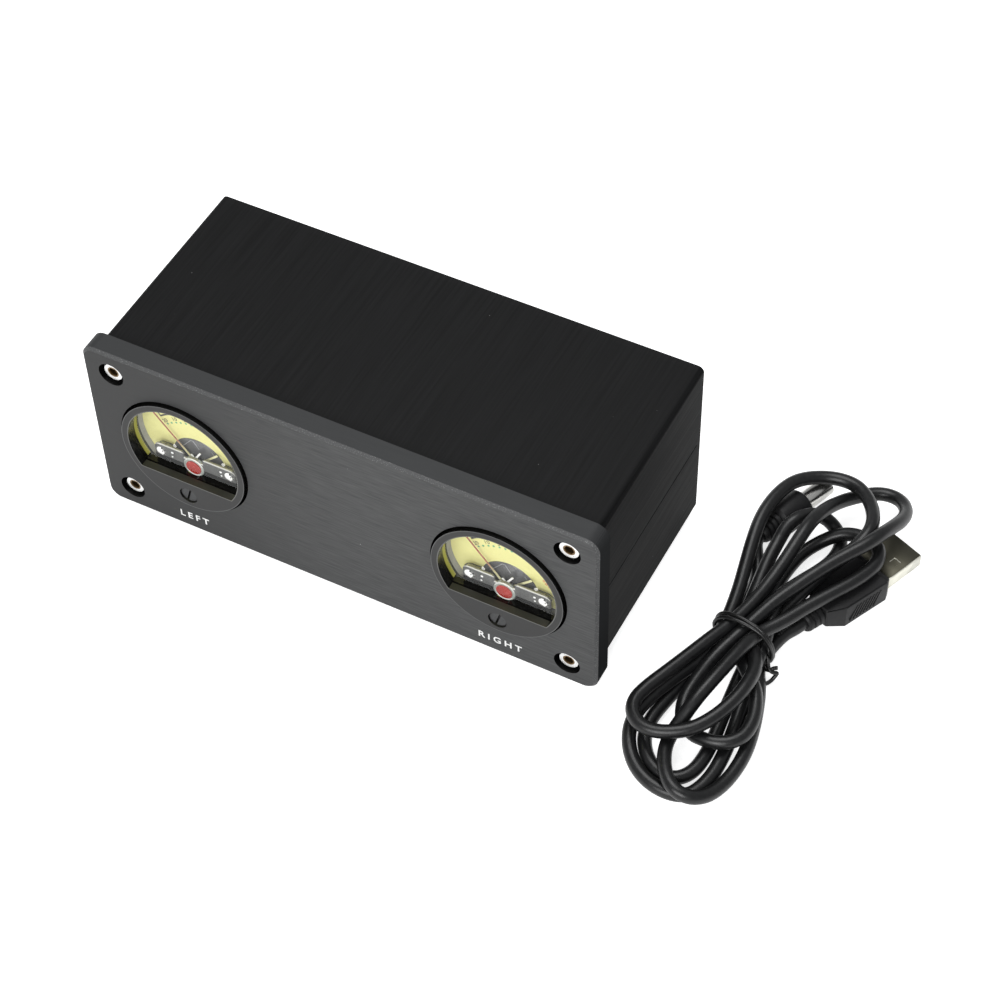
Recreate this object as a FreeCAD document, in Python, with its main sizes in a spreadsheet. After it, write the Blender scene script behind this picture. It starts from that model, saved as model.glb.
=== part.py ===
import FreeCAD, Part
import math
import os
import re
import Sketcher

# Twin analogue level meter: a thick front plate on a split extruded case, two moving-coil
# meters behind round holes, a driver board, rear sockets, and its supply lead lying beside it.
# Row frame: X to the right, Y from front to rear, Z up from the desk. The origin is under the
# middle of the case, at the bottom of its feet. Millimetres.
# Each meter is drawn in its own frame: X and Z from the middle of its round hole, and Y = 0 on
# the face that seats on the rear of the front plate, with the front of the meter at negative Y.

doc = FreeCAD.newDocument("level_meter")

SIZES = {
    # front plate
    "panel_wide": 150.0, "panel_tall": 60.0, "panel_thick": 6.4,
    "panel_corner": 4.0, "panel_bevel": 0.8,
    # case
    "side_step": 2.5, "end_step": 2.0, "case_long": 58.2, "wall": 2.0, "case_edge": 1.8,
    "seam_bevel": 0.25, "tongue_tall": 1.0, "seam_fit": 0.1,
    "rib_wide": 9.3, "rib_tall": 6.8, "slot_low": 3.4, "slot_deep": 1.2, "board_play": 0.1,
    "rear_thick": 2.0,
    "foot_radius": 5.0, "foot_thick": 2.6, "foot_inset": 12.0,
    # screws
    "screw_in_x": 8.6, "screw_in_z": 7.4, "shank_radius": 1.45, "thread_fit": 0.05,
    "plate_fit": 0.15, "front_shank": 14.0, "rear_shank": 8.0,
    "head_radius": 2.7, "head_tall": 3.0, "head_sink": 1.1, "head_fit": 1.05,
    "socket_across": 2.5, "socket_deep": 1.6, "button_radius": 2.7, "button_tall": 1.6,
    # meter housing
    "meter_in": 28.14, "meter_fit": 0.65, "bezel_radius": 18.95, "bezel_wall": 1.35,
    "bezel_long": 7.4, "bezel_face": 2.2, "window_radius": 16.9, "window_drop": 9.4,
    "lens_thick": 0.7, "lens_drop": 11.5, "sill_drop": 9.7, "sill_back": 2.25,
    "flange_radius": 22.0, "flange_thick": 2.0, "can_radius": 19.2, "can_wall": 1.25,
    "can_long": 20.6, "can_back": 1.5, "lip_wide": 1.55, "dial_play": 0.1,
    # dial and lighting
    "pivot_drop": 8.0, "dial_thick": 0.5, "rebate_in": 0.2, "dial_drop": 11.0, "post_fit": 0.3,
    "bar_half": 12.7, "bar_low": 7.7, "bar_high": 3.2, "bar_thick": 0.85, "bar_foot": 9.0, "bar_leg": 2.0,
    "notch_half": 3.0, "notch_deep": 2.0,
    "boss_radius": 2.9, "boss_drop": 7.5, "badge_radius": 2.3, "badge_thick": 0.3,
    "lamp_at": 10.7, "lamp_size": 2.0, "lamp_thick": 0.4,
    "dial_screw_x": 7.6, "dial_screw_up": 5.6, "dial_screw_radius": 0.5, "dial_screw_tall": 0.35,
    # movement
    "lever_gap": 0.15, "lever_thick": 0.15, "bridge_gap": 0.1, "bridge_thick": 0.25,
    "hub_gap": 0.1, "pointer_thick": 0.2, "dial_gap": 1.3,
    "bridge_half": 11.8, "bridge_tall": 1.6, "ear_thick": 2.0, "post_at": 11.0, "post_radius": 0.8,
    "staff_radius": 0.3, "jewel_fit": 0.05, "lever_boss": 0.6,
    "hub_radius": 1.1, "arm_wide": 0.6, "arm_long": 6.4, "blade_wide": 0.36, "blade_long": 21.5,
    "balance_long": 9.8, "balance_wide": 0.6, "tail_long": 4.5,
    "rest_angle": 38.5, "balance_angle": 84.0,
    "ring_radius": 9.0, "ring_bore": 6.2, "ring_front": 3.6, "ring_long": 7.0,
    "core_radius": 4.0, "key_wide": 1.6, "key_long": 3.0,
    "coil_half": 5.7, "coil_bar": 1.2, "coil_gap": 0.4, "coil_wide": 1.6, "coil_end": 0.6,
    "rear_gap": 0.4, "rear_bar": 0.6, "pillar_at": 7.6, "pillar_radius": 1.0,
    "spring_pitch": 0.42, "spring_turns": 4.0, "spring_tall": 0.3, "spring_wall": 0.12,
    "spring_back": 1.3,
    # zero adjuster
    "zero_drop": 14.75, "zero_radius": 2.55, "zero_gap": 0.15, "zero_sink": 0.4, "zero_head": 1.6,
    "zero_shaft": 1.2, "zero_fit": 0.05, "zero_slot": 0.55, "zero_slot_deep": 0.8, "slot_lean": 17.0,
    "crank": 0.8,
    "crank_pin": 0.35, "crank_over": 0.05, "fork_fit": 0.15, "fork_bar": 0.6, "fork_leg": 0.6,
    "fork_reach": 7.0, "fork_root": 5.1,
    "lever_ring": 1.5, "lever_stem": 0.8, "stem_long": 3.1, "lever_prong": 0.55,
    "prong_start": 2.8, "short_prong": 1.8, "long_prong": 3.7, "short_lean": 38.0, "long_lean": 32.0,
    # meter tags and wires
    "tag_apart": 12.0, "tag_up": 6.0, "tag_base": 1.6, "tag_base_thick": 0.6,
    "tag_wide": 2.4, "tag_thick": 0.5, "tag_long": 5.0, "wire_radius": 0.6,
    "wire_out": 5.0, "wire_lift": 0.5, "wire_turn_out": 8.0, "wire_turn_drop": 5.0,
    "wire_turn_share": 0.4, "wire_stand": 9.0,
    # driver board
    "board_thick": 1.6, "board_front": 3.6, "board_back": 0.6,
    "plug_wide": 7.5, "plug_deep": 5.8, "plug_tall": 7.0, "plug_x": 24.0, "plug_from_rear": 24.0,
    "chip_wide": 9.8, "chip_deep": 6.4, "chip_tall": 3.4, "chip_x": 6.5, "chip_from_rear": 25.0,
    "cap_radius": 2.5, "cap_tall": 9.0, "cap_step": 8.0, "cap_from_rear": 15.0,
    "resistor_radius": 1.1, "resistor_long": 6.3, "resistor_step": 4.6,
    "resistor_from_rear": 36.0,
    # level trimmers
    "trimmer_x": 6.0, "trimmer_wide": 9.5, "trimmer_deep": 4.8, "trimmer_tall": 10.0,
    "trimmer_axis": 6.0, "rotor_radius": 1.5, "rotor_fit": 0.05, "rotor_long": 1.6, "rotor_seat": 0.1,
    "rotor_proud": 0.8, "rotor_slot": 0.4, "trimmer_hole": 1.7, "rear_air": 1.4,
    # rear sockets
    "input_in": 30.0, "input_step": 17.0, "input_wide": 11.0, "input_deep": 9.0,
    "input_tall": 14.0, "input_axis": 9.0, "barrel_radius": 4.15, "barrel_wall": 0.5,
    "barrel_proud": 9.5, "input_bore": 1.65, "input_bore_deep": 9.0, "nose_back": 0.6, "hole_fit": 0.2,
    "power_in": 30.0, "power_wide": 9.0, "power_deep": 13.0, "power_tall": 11.0,
    "power_axis": 6.5, "power_nose": 3.9, "power_bore": 2.8, "power_bore_deep": 9.0,
    "power_pin": 1.05, "power_pin_sink": 0.8, "power_proud": 0.5, "socket_gap": 0.2,
    # supply lead
    "cord_radius": 1.9, "hank_tall": 11.4,
    "waist_long": 10.0, "waist_wide": 15.4, "waist_tall": 10.4, "waist_low": 0.7,
    "tie_thick": 0.7, "tie_wide": 2.6, "tie_wire": 0.8,
    "dc_radius": 4.75, "dc_long": 16.0, "dc_relief_radius": 3.1, "dc_relief_long": 5.0,
    "dc_barrel_radius": 2.75, "dc_barrel_bore": 1.25, "dc_barrel_long": 9.5, "dc_bore_deep": 9.0,
    "usb_wide": 14.5, "usb_tall": 8.0, "usb_long": 25.5, "usb_neck_wide": 7.0,
    "usb_neck_at": 5.2, "usb_shoulder_at": 9.4, "usb_shoulder_wide": 12.6, "usb_nose": 1.8,
    "usb_nose_wide": 12.6, "usb_relief_radius": 2.9, "usb_edge": 0.9,
    "shell_wide": 12.0, "shell_tall": 4.5, "shell_long": 12.5, "shell_wall": 0.3,
    "shell_deep": 11.5, "tongue_wide": 11.0, "tongue_thick": 1.9, "tongue_long": 9.5,
    "plug_room": 0.3, "plug_room_end": 1.0, "tail_room": 7.0,
}

PLACES = {
    "case_wide": "panel_wide - 2 * side_step",
    "case_tall": "panel_tall - 2 * end_step",
    "case_low": "foot_thick",
    "panel_low": "case_low - end_step",
    "mid_z": "panel_low + panel_tall / 2",
    "bezel_proud": "bezel_long - panel_thick",
    "whole_deep": "bezel_proud + panel_thick + case_long + rear_thick + barrel_proud",
    "front_y": "bezel_proud - whole_deep / 2",
    "case_y": "front_y + panel_thick",
    "rear_y": "case_y + case_long",
    "screw_x": "panel_wide / 2 - screw_in_x",
    "screw_up": "panel_tall / 2 - screw_in_z",
    "meter_x": "panel_wide / 2 - meter_in",
    "meter_hole": "bezel_radius + meter_fit",
    # depths inside a meter, from its seat
    "bezel_bore": "bezel_radius - bezel_wall",
    "lens_front": "bezel_face - bezel_long",
    "lens_rear": "bezel_face - bezel_long + lens_thick",
    "hub_front": "0 - dial_gap - pointer_thick",
    "bridge_rear": "hub_front - hub_gap",
    "bridge_front": "bridge_rear - bridge_thick",
    "lever_front": "bridge_front - bridge_gap - lever_thick",
    "bar_front": "lever_front - lever_gap - bar_thick",
    "badge_front": "bar_front - badge_thick",
    "can_bore": "can_radius - can_wall",
    "lip_radius": "can_bore - lip_wide",
    "dial_radius": "bezel_bore - dial_play - rebate_in",
    "can_floor": "can_long - can_back",
    "ring_rear": "ring_front + ring_long",
    "coil_front": "ring_front - coil_gap - coil_end",
    "coil_rear": "ring_rear + coil_gap + coil_end",
    "rear_bar_front": "coil_rear + rear_gap",
    "crank_rear": "lever_front + lever_thick + crank_over",
    # board and what stands on it, in the row frame
    "board_low": "case_low + slot_low + board_play",
    "board_top": "board_low + board_thick",
    "board_half": "case_wide / 2 - rib_wide + slot_deep - board_play",
    "board_y": "case_y + board_front",
    "board_long": "case_long - board_front - board_back",
    "trimmer_y": "rear_y - rear_air",
    "trimmer_z": "board_top + trimmer_axis",
    "socket_y": "rear_y - socket_gap",
    "input_x": "panel_wide / 2 - input_in",
    "input_z": "board_top + input_axis",
    "power_x": "panel_wide / 2 - power_in",
    "power_z": "board_top + power_axis",
    "nose_long": "socket_gap + rear_thick + barrel_proud",
    "power_nose_long": "socket_gap + rear_thick + power_proud",
}

NODES = []


def prefixed(text):
    """Write a formula with each size or place under its sheet's name."""
    def swap(found):
        word = found.group(0)
        if word in SIZES:
            return "Sizes." + word
        if word in PLACES:
            return "Places." + word
        return word
    return re.sub(r"[a-z_]+", swap, text)


def fill_sheet(name, rows, formulas):
    table = doc.addObject("Spreadsheet::Sheet", name)
    for row, (alias, content) in enumerate(rows.items(), start=1):
        cell = "B%d" % row
        table.set("A%d" % row, alias)
        table.setAlias(cell, alias)
        table.set(cell, "=" + prefixed(content) if formulas else str(content))
    doc.recompute()
    return table


sizes = fill_sheet("Sizes", SIZES, False)
places = fill_sheet("Places", PLACES, True)


def number(text):
    """The present value of a formula."""
    found = places.evalExpression(prefixed(text))
    return float(getattr(found, "Value", found))


def bind(item, **formulas):
    for prop, text in formulas.items():
        item.setExpression(prop, prefixed(text))


def place(item, x="0", y="0", z="0"):
    for axis, text in zip("xyz", (x, y, z)):
        item.setExpression("Placement.Base." + axis, prefixed(text))


def node(item, label, x="0", y="0", z="0"):
    """Give a finished sub-part its name and its place."""
    item.Label = label
    place(item, x, y, z)
    NODES.append(item)
    return item


# Part primitives and booleans

ALONG = {
    "x": FreeCAD.Rotation(FreeCAD.Vector(0, 1, 0), 90),
    "y": FreeCAD.Rotation(FreeCAD.Vector(1, 0, 0), -90),
    "z": FreeCAD.Rotation(),
}


def rod(radius, length, x="0", y="0", z="0", along="y"):
    item = doc.addObject("Part::Cylinder", "Rod")
    item.Placement = FreeCAD.Placement(FreeCAD.Vector(), ALONG[along])
    bind(item, Radius=radius, Height=length)
    place(item, x, y, z)
    return item


def block(wide, deep, tall, x="0", y="0", z="0"):
    """A box whose X place is its middle, and whose Y and Z places are its low sides."""
    item = doc.addObject("Part::Box", "Block")
    bind(item, Length=wide, Width=deep, Height=tall)
    place(item, "(%s) - (%s) / 2" % (x, wide), y, z)
    return item


def cut(base, *tools):
    item = doc.addObject("Part::Cut", "Cut")
    item.Base = base
    item.Tool = tools[0] if len(tools) == 1 else fuse(*tools)
    return item


def fuse(*pieces):
    item = doc.addObject("Part::MultiFuse", "Fuse")
    item.Shapes = list(pieces)
    return item


def common(first, second):
    item = doc.addObject("Part::Common", "Common")
    item.Base = first
    item.Tool = second
    return item


def group(*solids):
    item = doc.addObject("Part::Compound", "Group")
    item.Links = list(solids)
    return item


def turned(item, angle):
    """Turn a piece about the meter's pivot line, clockwise from the front for a positive angle."""
    item.Placement = FreeCAD.Placement(
        item.Placement.Base, FreeCAD.Rotation(FreeCAD.Vector(0, 1, 0), number(angle)))
    item.setExpression("Placement.Rotation.Angle", prefixed(angle))
    return item


# PartDesign bodies

def new_body(label):
    item = doc.addObject("PartDesign::Body", "Body")
    item.Label = label
    return item


def new_sketch(body, role):
    plane = next(f for f in body.Origin.OriginFeatures if f.Role == role)
    sketch = body.newObject("Sketcher::SketchObject", "Sketch")
    sketch.AttachmentSupport = [(plane, "")]
    sketch.MapMode = "FlatFace"
    return sketch


def pin_down(sketch, geometry, point, x, y):
    for kind, text in (("DistanceX", x), ("DistanceY", y)):
        made = sketch.addConstraint(
            Sketcher.Constraint(kind, -1, 1, geometry, point, number(text)))
        sketch.setExpression("Constraints[%d]" % made, prefixed(text))


def draw_outline(sketch, corners):
    """A closed outline of straight lines, with every corner held by formulas."""
    spots = [FreeCAD.Vector(number(x), number(y), 0) for x, y in corners]
    lines = []
    for here, there in zip(spots, spots[1:] + spots[:1]):
        lines.append(sketch.addGeometry(Part.LineSegment(here, there), False))
    for here, there in zip(lines, lines[1:] + lines[:1]):
        sketch.addConstraint(Sketcher.Constraint("Coincident", here, 2, there, 1))
    for line, (x, y) in zip(lines, corners):
        pin_down(sketch, line, 1, x, y)


def draw_circle(sketch, x, y, radius):
    middle = FreeCAD.Vector(number(x), number(y), 0)
    ring = sketch.addGeometry(
        Part.Circle(middle, FreeCAD.Vector(0, 0, 1), number(radius)), False)
    pin_down(sketch, ring, 3, x, y)
    made = sketch.addConstraint(Sketcher.Constraint("Radius", ring, number(radius)))
    sketch.setExpression("Constraints[%d]" % made, prefixed(radius))


def pad(body, sketch, length):
    """Thicken a sketch on the XZ plane towards the rear."""
    feature = body.newObject("PartDesign::Pad", "Pad")
    feature.Profile = sketch
    feature.Reversed = True
    bind(feature, Length=length)
    doc.recompute()
    return feature


def pocket(body, sketch, depth):
    """Cut a sketch on the XZ plane from the body's front towards its rear."""
    before = body.Shape.Volume
    feature = body.newObject("PartDesign::Pocket", "Pocket")
    feature.Profile = sketch
    bind(feature, Length=depth)
    doc.recompute()
    assert body.Shape.Volume < before - 0.01, body.Label
    return feature


def dress_edges(body, kind, size, chosen):
    """Round or bevel the edges of the body that the test picks."""
    base = body.Tip
    names = ["Edge%d" % i for i, edge in enumerate(base.Shape.Edges, start=1) if chosen(edge)]
    assert names, body.Label
    feature = body.newObject("PartDesign::" + kind, kind)
    feature.Base = (base, names)
    bind(feature, **{"Radius" if kind == "Fillet" else "Size": size})
    doc.recompute()
    return feature


def is_long_edge(edge, x, z, slack=0.01):
    """A straight edge from front to rear at plus or minus x, and at z."""
    box = edge.BoundBox
    straight = box.XLength < slack and box.ZLength < slack
    return straight and abs(abs(box.XMin) - x) < slack and abs(box.ZMin - z) < slack


def corner_spots(x, z):
    """The four corners of a rectangle about a middle: plus and minus x, mid height and z."""
    return [(side + x, level + z) for side in ("-", "") for level in ("-", "")]


# Front plate

def front_panel():
    body = new_body("front_panel")
    plate = new_sketch(body, "XZ_Plane")
    draw_outline(plate, [("-panel_wide / 2", "-panel_tall / 2"), ("panel_wide / 2", "-panel_tall / 2"),
                         ("panel_wide / 2", "panel_tall / 2"), ("-panel_wide / 2", "panel_tall / 2")])
    for side in ("-", ""):
        draw_circle(plate, side + "meter_x", "0", "meter_hole")
    for x, z in corner_spots("screw_x", "screw_up"):
        draw_circle(plate, x, z, "shank_radius + plate_fit")
    pad(body, plate, "panel_thick")
    wells = new_sketch(body, "XZ_Plane")
    for x, z in corner_spots("screw_x", "screw_up"):
        draw_circle(wells, x, z, "head_radius + head_fit")
    pocket(body, wells, "head_sink + head_tall")
    half_wide = number("panel_wide / 2")
    half_tall = number("panel_tall / 2")
    dress_edges(body, "Fillet", "panel_corner",
                lambda e: is_long_edge(e, half_wide, half_tall) or is_long_edge(e, half_wide, -half_tall))
    front = max((f for f in body.Tip.Shape.Faces if f.BoundBox.YMax < 0.001), key=lambda f: f.Area)
    rim = front.OuterWire.Edges
    dress_edges(body, "Chamfer", "panel_bevel", lambda e: any(e.isSame(r) for r in rim))
    return node(body, "front_panel", "0", "front_y", "mid_z")


# Split case

def case_outline(upper):
    """The right half of a case half's section, from its outer corner up to its seam and back."""
    half = "case_wide / 2"
    middle = "case_tall / 2"
    if upper:
        lip = "%s - wall / 2 + seam_fit" % half
        step = "%s - tongue_tall - seam_fit" % middle
    else:
        lip = "%s - wall / 2" % half
        step = "%s + tongue_tall" % middle
    rib = half + " - rib_wide"
    deep = rib + " + slot_deep"
    slot_top = "slot_low + board_thick + 2 * board_play"
    points = [(half, "0"), (half, middle + " - seam_bevel"), (half + " - seam_bevel", middle),
              (lip, middle), (lip, step), (half + " - wall", step),
              (half + " - wall", "wall + rib_tall"), (rib, "wall + rib_tall")]
    if not upper:
        points += [(rib, slot_top), (deep, slot_top), (deep, "slot_low"), (rib, "slot_low")]
    return points + [(rib, "wall")]


def case_half(label, upper):
    body = new_body(label)
    right = case_outline(upper)
    left = [("0 - (%s)" % x, z) for x, z in reversed(right)]
    corners = right + left
    if upper:
        corners = [(x, "case_tall - (%s)" % z) for x, z in corners]
    section = new_sketch(body, "XZ_Plane")
    draw_outline(section, corners)
    pad(body, section, "case_long")
    bores = new_sketch(body, "XZ_Plane")
    screw_z = "panel_tall - end_step - screw_in_z" if upper else "screw_in_z - end_step"
    for side in ("-", ""):
        draw_circle(bores, side + "screw_x", screw_z, "shank_radius + thread_fit")
    pocket(body, bores, "case_long")
    outer = number("case_tall") if upper else 0.0
    half = number("case_wide / 2")
    dress_edges(body, "Fillet", "case_edge", lambda e: is_long_edge(e, half, outer))
    return node(body, label, "0", "case_y", "case_low")


def rear_panel():
    body = new_body("rear_panel")
    plate = new_sketch(body, "XZ_Plane")
    draw_outline(plate, [("-case_wide / 2", "0"), ("case_wide / 2", "0"),
                         ("case_wide / 2", "case_tall"), ("-case_wide / 2", "case_tall")])
    for x, z in corner_spots("screw_x", "screw_up"):
        draw_circle(plate, x, "case_tall / 2 + (%s)" % z, "shank_radius + plate_fit")
    for step in ("0", "input_step"):
        draw_circle(plate, "%s - input_x" % step, "input_z - case_low",
                    "barrel_radius - barrel_wall + hole_fit")
    draw_circle(plate, "power_x", "power_z - case_low", "power_nose + hole_fit")
    for side in ("-", ""):
        draw_circle(plate, side + "trimmer_x", "trimmer_z - case_low", "trimmer_hole")
    pad(body, plate, "rear_thick")
    half = number("case_wide / 2")
    tall = number("case_tall")
    dress_edges(body, "Fillet", "case_edge",
                lambda e: is_long_edge(e, half, 0.0) or is_long_edge(e, half, tall))
    return node(body, "rear_panel", "0", "rear_y", "case_low")


# Screws and feet

def hex_key_hole(depth, y):
    hole = doc.addObject("Part::Prism", "Socket")
    hole.Polygon = 6
    hole.Placement = FreeCAD.Placement(FreeCAD.Vector(), ALONG["y"])
    bind(hole, Circumradius="socket_across / sqrt(3)", Height=depth)
    place(hole, "0", y, "0")
    return hole


def front_screw():
    """A cap screw with its head's face at Y = 0, pointing to the rear."""
    head = rod("head_radius", "head_tall")
    shank = rod("shank_radius", "front_shank", y="head_tall")
    return cut(fuse(head, shank), hex_key_hole("socket_deep", "0"))


def rear_screw():
    """A button screw with its seat at Y = 0, pointing to the front."""
    head = rod("button_radius", "button_tall")
    shank = rod("shank_radius", "rear_shank", y="0 - rear_shank")
    return cut(fuse(head, shank), hex_key_hole("button_tall / 2", "button_tall / 2"))


def screw_set(label, make, y):
    screws = []
    for x, z in corner_spots("screw_x", "screw_up"):
        screw = make()
        place(screw, x, "0", z)
        screws.append(screw)
    return node(group(*screws), label, "0", y, "mid_z")


def feet():
    pads = []
    for x in ("foot_inset - case_wide / 2", "case_wide / 2 - foot_inset"):
        for y in ("foot_inset", "case_long - foot_inset"):
            pads.append(rod("foot_radius", "foot_thick", x, y, "0", along="z"))
    return node(group(*pads), "rubber_feet", "0", "case_y", "0")


# Meter housing

def window_disc(radius, drop, y, thick):
    """A disc whose lower part is cut off level, a distance below its middle."""
    disc = rod(radius, thick, y=y)
    above = block("2 * (%s)" % radius, thick, "%s + (%s)" % (radius, drop), "0", y, "0 - (%s)" % drop)
    return common(disc, above)


def lower_disc(radius, drop, y, thick):
    """The part of a disc that lies below a level line."""
    disc = rod(radius, thick, y=y)
    below = block("2 * (%s)" % radius, thick, "%s - (%s)" % (radius, drop), "0", y, "0 - (%s)" % radius)
    return common(disc, below)


def bezel(seat):
    face = cut(rod("bezel_radius", "bezel_face", y="0 - bezel_long"),
               window_disc("window_radius", "window_drop", "0 - bezel_long", "bezel_face"),
               rod("zero_radius + zero_gap", "bezel_face", y="0 - bezel_long", z="0 - zero_drop"))
    wall = cut(rod("bezel_radius", "0 - lens_front", y="lens_front"),
               rod("bezel_bore", "0 - lens_front", y="lens_front"))
    sill_deep = "0 - sill_back - lens_rear"
    sill = cut(lower_disc("bezel_bore", "sill_drop", "lens_rear", sill_deep),
               rod("boss_radius", sill_deep, y="lens_rear", z="0 - boss_drop"),
               rod("zero_shaft + zero_fit", sill_deep, y="lens_rear", z="0 - zero_drop"))
    return node(fuse(face, wall, sill), seat.side + "_meter_bezel", *seat.at)


def lens(seat):
    clear = window_disc("bezel_bore", "lens_drop", "lens_front", "lens_thick")
    return node(clear, seat.side + "_meter_lens", *seat.at)


def housing(seat):
    body = new_body(seat.side + "_meter_housing")
    section = new_sketch(body, "XY_Plane")
    rebate = "dial_radius + dial_play"
    lip_end = "dial_thick + flange_thick"
    draw_outline(section, [
        ("flange_radius", "0"), ("flange_radius", "flange_thick"),
        ("can_radius", "flange_thick"), ("can_radius", "can_long"), ("0", "can_long"),
        ("0", "can_floor"), ("can_bore", "can_floor"), ("can_bore", lip_end),
        ("lip_radius", lip_end), ("lip_radius", "dial_thick"), (rebate, "dial_thick"),
        (rebate, "0")])
    spun = body.newObject("PartDesign::Revolution", "Revolution")
    spun.Profile = section
    spun.ReferenceAxis = (section, ["V_Axis"])
    spun.Angle = 360
    doc.recompute()
    return node(body, seat.side + "_meter_housing", *seat.at)


def dial(seat):
    plate = window_disc("dial_radius", "dial_drop", "0", "dial_thick")
    staff_hole = rod("hub_radius", "dial_thick", z="0 - pivot_drop")
    post_holes = [rod("post_radius + post_fit", "dial_thick", side + "post_at", z="0 - pivot_drop")
                  for side in ("-", "")]
    return node(cut(plate, staff_hole, *post_holes), seat.side + "_dial_plate", *seat.at)


def light_bar(seat):
    bar = cut(block("2 * bar_half", "bar_thick", "bar_low - bar_high", "0", "bar_front", "0 - bar_low"),
              block("2 * notch_half", "bar_thick", "notch_deep", "0", "bar_front",
                    "0 - bar_high - notch_deep"))
    boss = rod("boss_radius", "bar_thick", y="bar_front", z="0 - boss_drop")
    feet_tall = "sill_drop - bar_low"
    legs = [block("bar_leg", "bar_thick", feet_tall, side + "bar_foot", "bar_front", "0 - sill_drop")
            for side in ("-", "")]
    return node(fuse(bar, boss, *legs), seat.side + "_light_bar", *seat.at)


def badge(seat):
    x, y, z = seat.at
    disc = rod("badge_radius", "badge_thick")
    return node(disc, seat.side + "_hub_cap", x, y + " + badge_front", z + " - boss_drop")


# Zero adjuster

def zero_screw(seat):
    """The slotted adjuster sunk in the bezel, with its crank pin in the lever's fork."""
    slot = turned(block("zero_slot", "zero_slot_deep", "2 * zero_radius"), "slot_lean")
    # the corner of the turned slot: its middle is on the screw's line
    place(slot, "0 - zero_slot / 2 * cos(slot_lean) - zero_radius * sin(slot_lean)", "zero_sink",
          "zero_slot / 2 * sin(slot_lean) - zero_radius * cos(slot_lean)")
    head = cut(rod("zero_radius", "zero_head - zero_sink", y="zero_sink"), slot)
    shaft_end = "bezel_long - sill_back"
    shaft = rod("zero_shaft", "%s - zero_head" % shaft_end, y="zero_head")
    pin = rod("crank_pin", "crank_rear + sill_back", y=shaft_end, z="crank")
    screw = fuse(head, shaft, pin)
    x, y, z = seat.at
    return node(screw, seat.side + "_zero_screw", x, y + " - bezel_long", z + " - zero_drop")


def zero_lever(seat):
    """The lever that turns on the front bearing: a fork below, and two short prongs above."""
    ring = rod("lever_ring", "lever_thick")
    neck = "fork_root - fork_bar / 2"
    tail = block("lever_stem", "lever_thick", neck, "0", "0", "0 - (%s)" % neck)
    fork_gap = "2 * (crank_pin + fork_fit)"
    fork_wide = "%s + 2 * fork_leg" % fork_gap
    fork = cut(block(fork_wide, "lever_thick", "fork_reach - fork_root + fork_bar", "0", "0",
                     "0 - fork_reach"),
               block(fork_gap, "lever_thick", "fork_reach - fork_root", "0", "0", "0 - fork_reach"))
    stem = block("lever_stem", "lever_thick", "stem_long", "0", "0", "0")
    prongs = []
    for lean, reach in (("0 - short_lean", "short_prong"), ("long_lean", "long_prong")):
        prong = turned(block("lever_prong", "lever_thick", reach, "0", "0", "0"), lean)
        # the corner of a turned block: its middle line starts at the top of the stem
        place(prong, "0 - lever_prong / 2 * cos(%s)" % lean, "0",
              "prong_start + lever_prong / 2 * sin(%s)" % lean)
        prongs.append(prong)
    solid = cut(fuse(ring, tail, fork, stem, *prongs), rod("lever_boss + jewel_fit", "lever_thick"))
    x, y, z = seat.at
    return node(solid, seat.side + "_zero_lever", x, y + " + lever_front", z + " - pivot_drop")


# Movement

def front_bridge(seat):
    """The front bearing bar, its two posts and the boss that carries the zero lever."""
    bar = block("2 * bridge_half", "bridge_thick", "bridge_tall", "0", "bridge_front",
                "0 - bridge_tall / 2")
    boss = rod("lever_boss", "bridge_front - lever_front", y="lever_front")
    posts = [rod("post_radius", "ring_front - bridge_rear", side + "post_at", "bridge_rear")
             for side in ("-", "")]
    jewel = rod("staff_radius + jewel_fit", "bridge_thick", y="bridge_front")
    x, y, z = seat.at
    return node(cut(fuse(bar, boss, *posts), jewel), seat.side + "_front_bridge", x, y, z + " - pivot_drop")


def magnet_frame(seat):
    """The iron ring with its ears, pillars and rear bearing bar."""
    ring = rod("ring_radius", "ring_long", y="ring_front")
    ear = block("2 * bridge_half", "ear_thick", "2 * bridge_tall", "0", "ring_front", "0 - bridge_tall")
    pillars = [rod("pillar_radius", "can_floor - ring_rear", "0", "ring_rear", side + "pillar_at")
               for side in ("-", "")]
    rests = [rod("pillar_radius", "rear_bar_front - ring_rear", side + "pillar_at", "ring_rear")
             for side in ("-", "")]
    bar = block("2 * (pillar_at + pillar_radius)", "rear_bar", "bridge_tall", "0",
                "rear_bar_front", "0 - bridge_tall / 2")
    bore = rod("ring_bore", "ring_long", y="ring_front")
    bearing = rod("staff_radius + jewel_fit", "rear_bar", y="rear_bar_front")
    solid = cut(fuse(ring, ear, *pillars, *rests, bar), bore, bearing)
    x, y, z = seat.at
    return node(solid, seat.side + "_magnet_frame", x, y, z + " - pivot_drop")


def core(seat):
    """The magnet core, carried on two brass keys that reach the ring."""
    slug = rod("core_radius", "ring_long", y="ring_front")
    key = common(block("key_wide", "key_long", "2 * ring_bore", "0",
                       "ring_front + (ring_long - key_long) / 2", "0 - ring_bore"),
                 rod("ring_bore", "ring_long", y="ring_front"))
    x, y, z = seat.at
    return node(fuse(slug, key), seat.side + "_magnet_core", x, y, z + " - pivot_drop")


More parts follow.
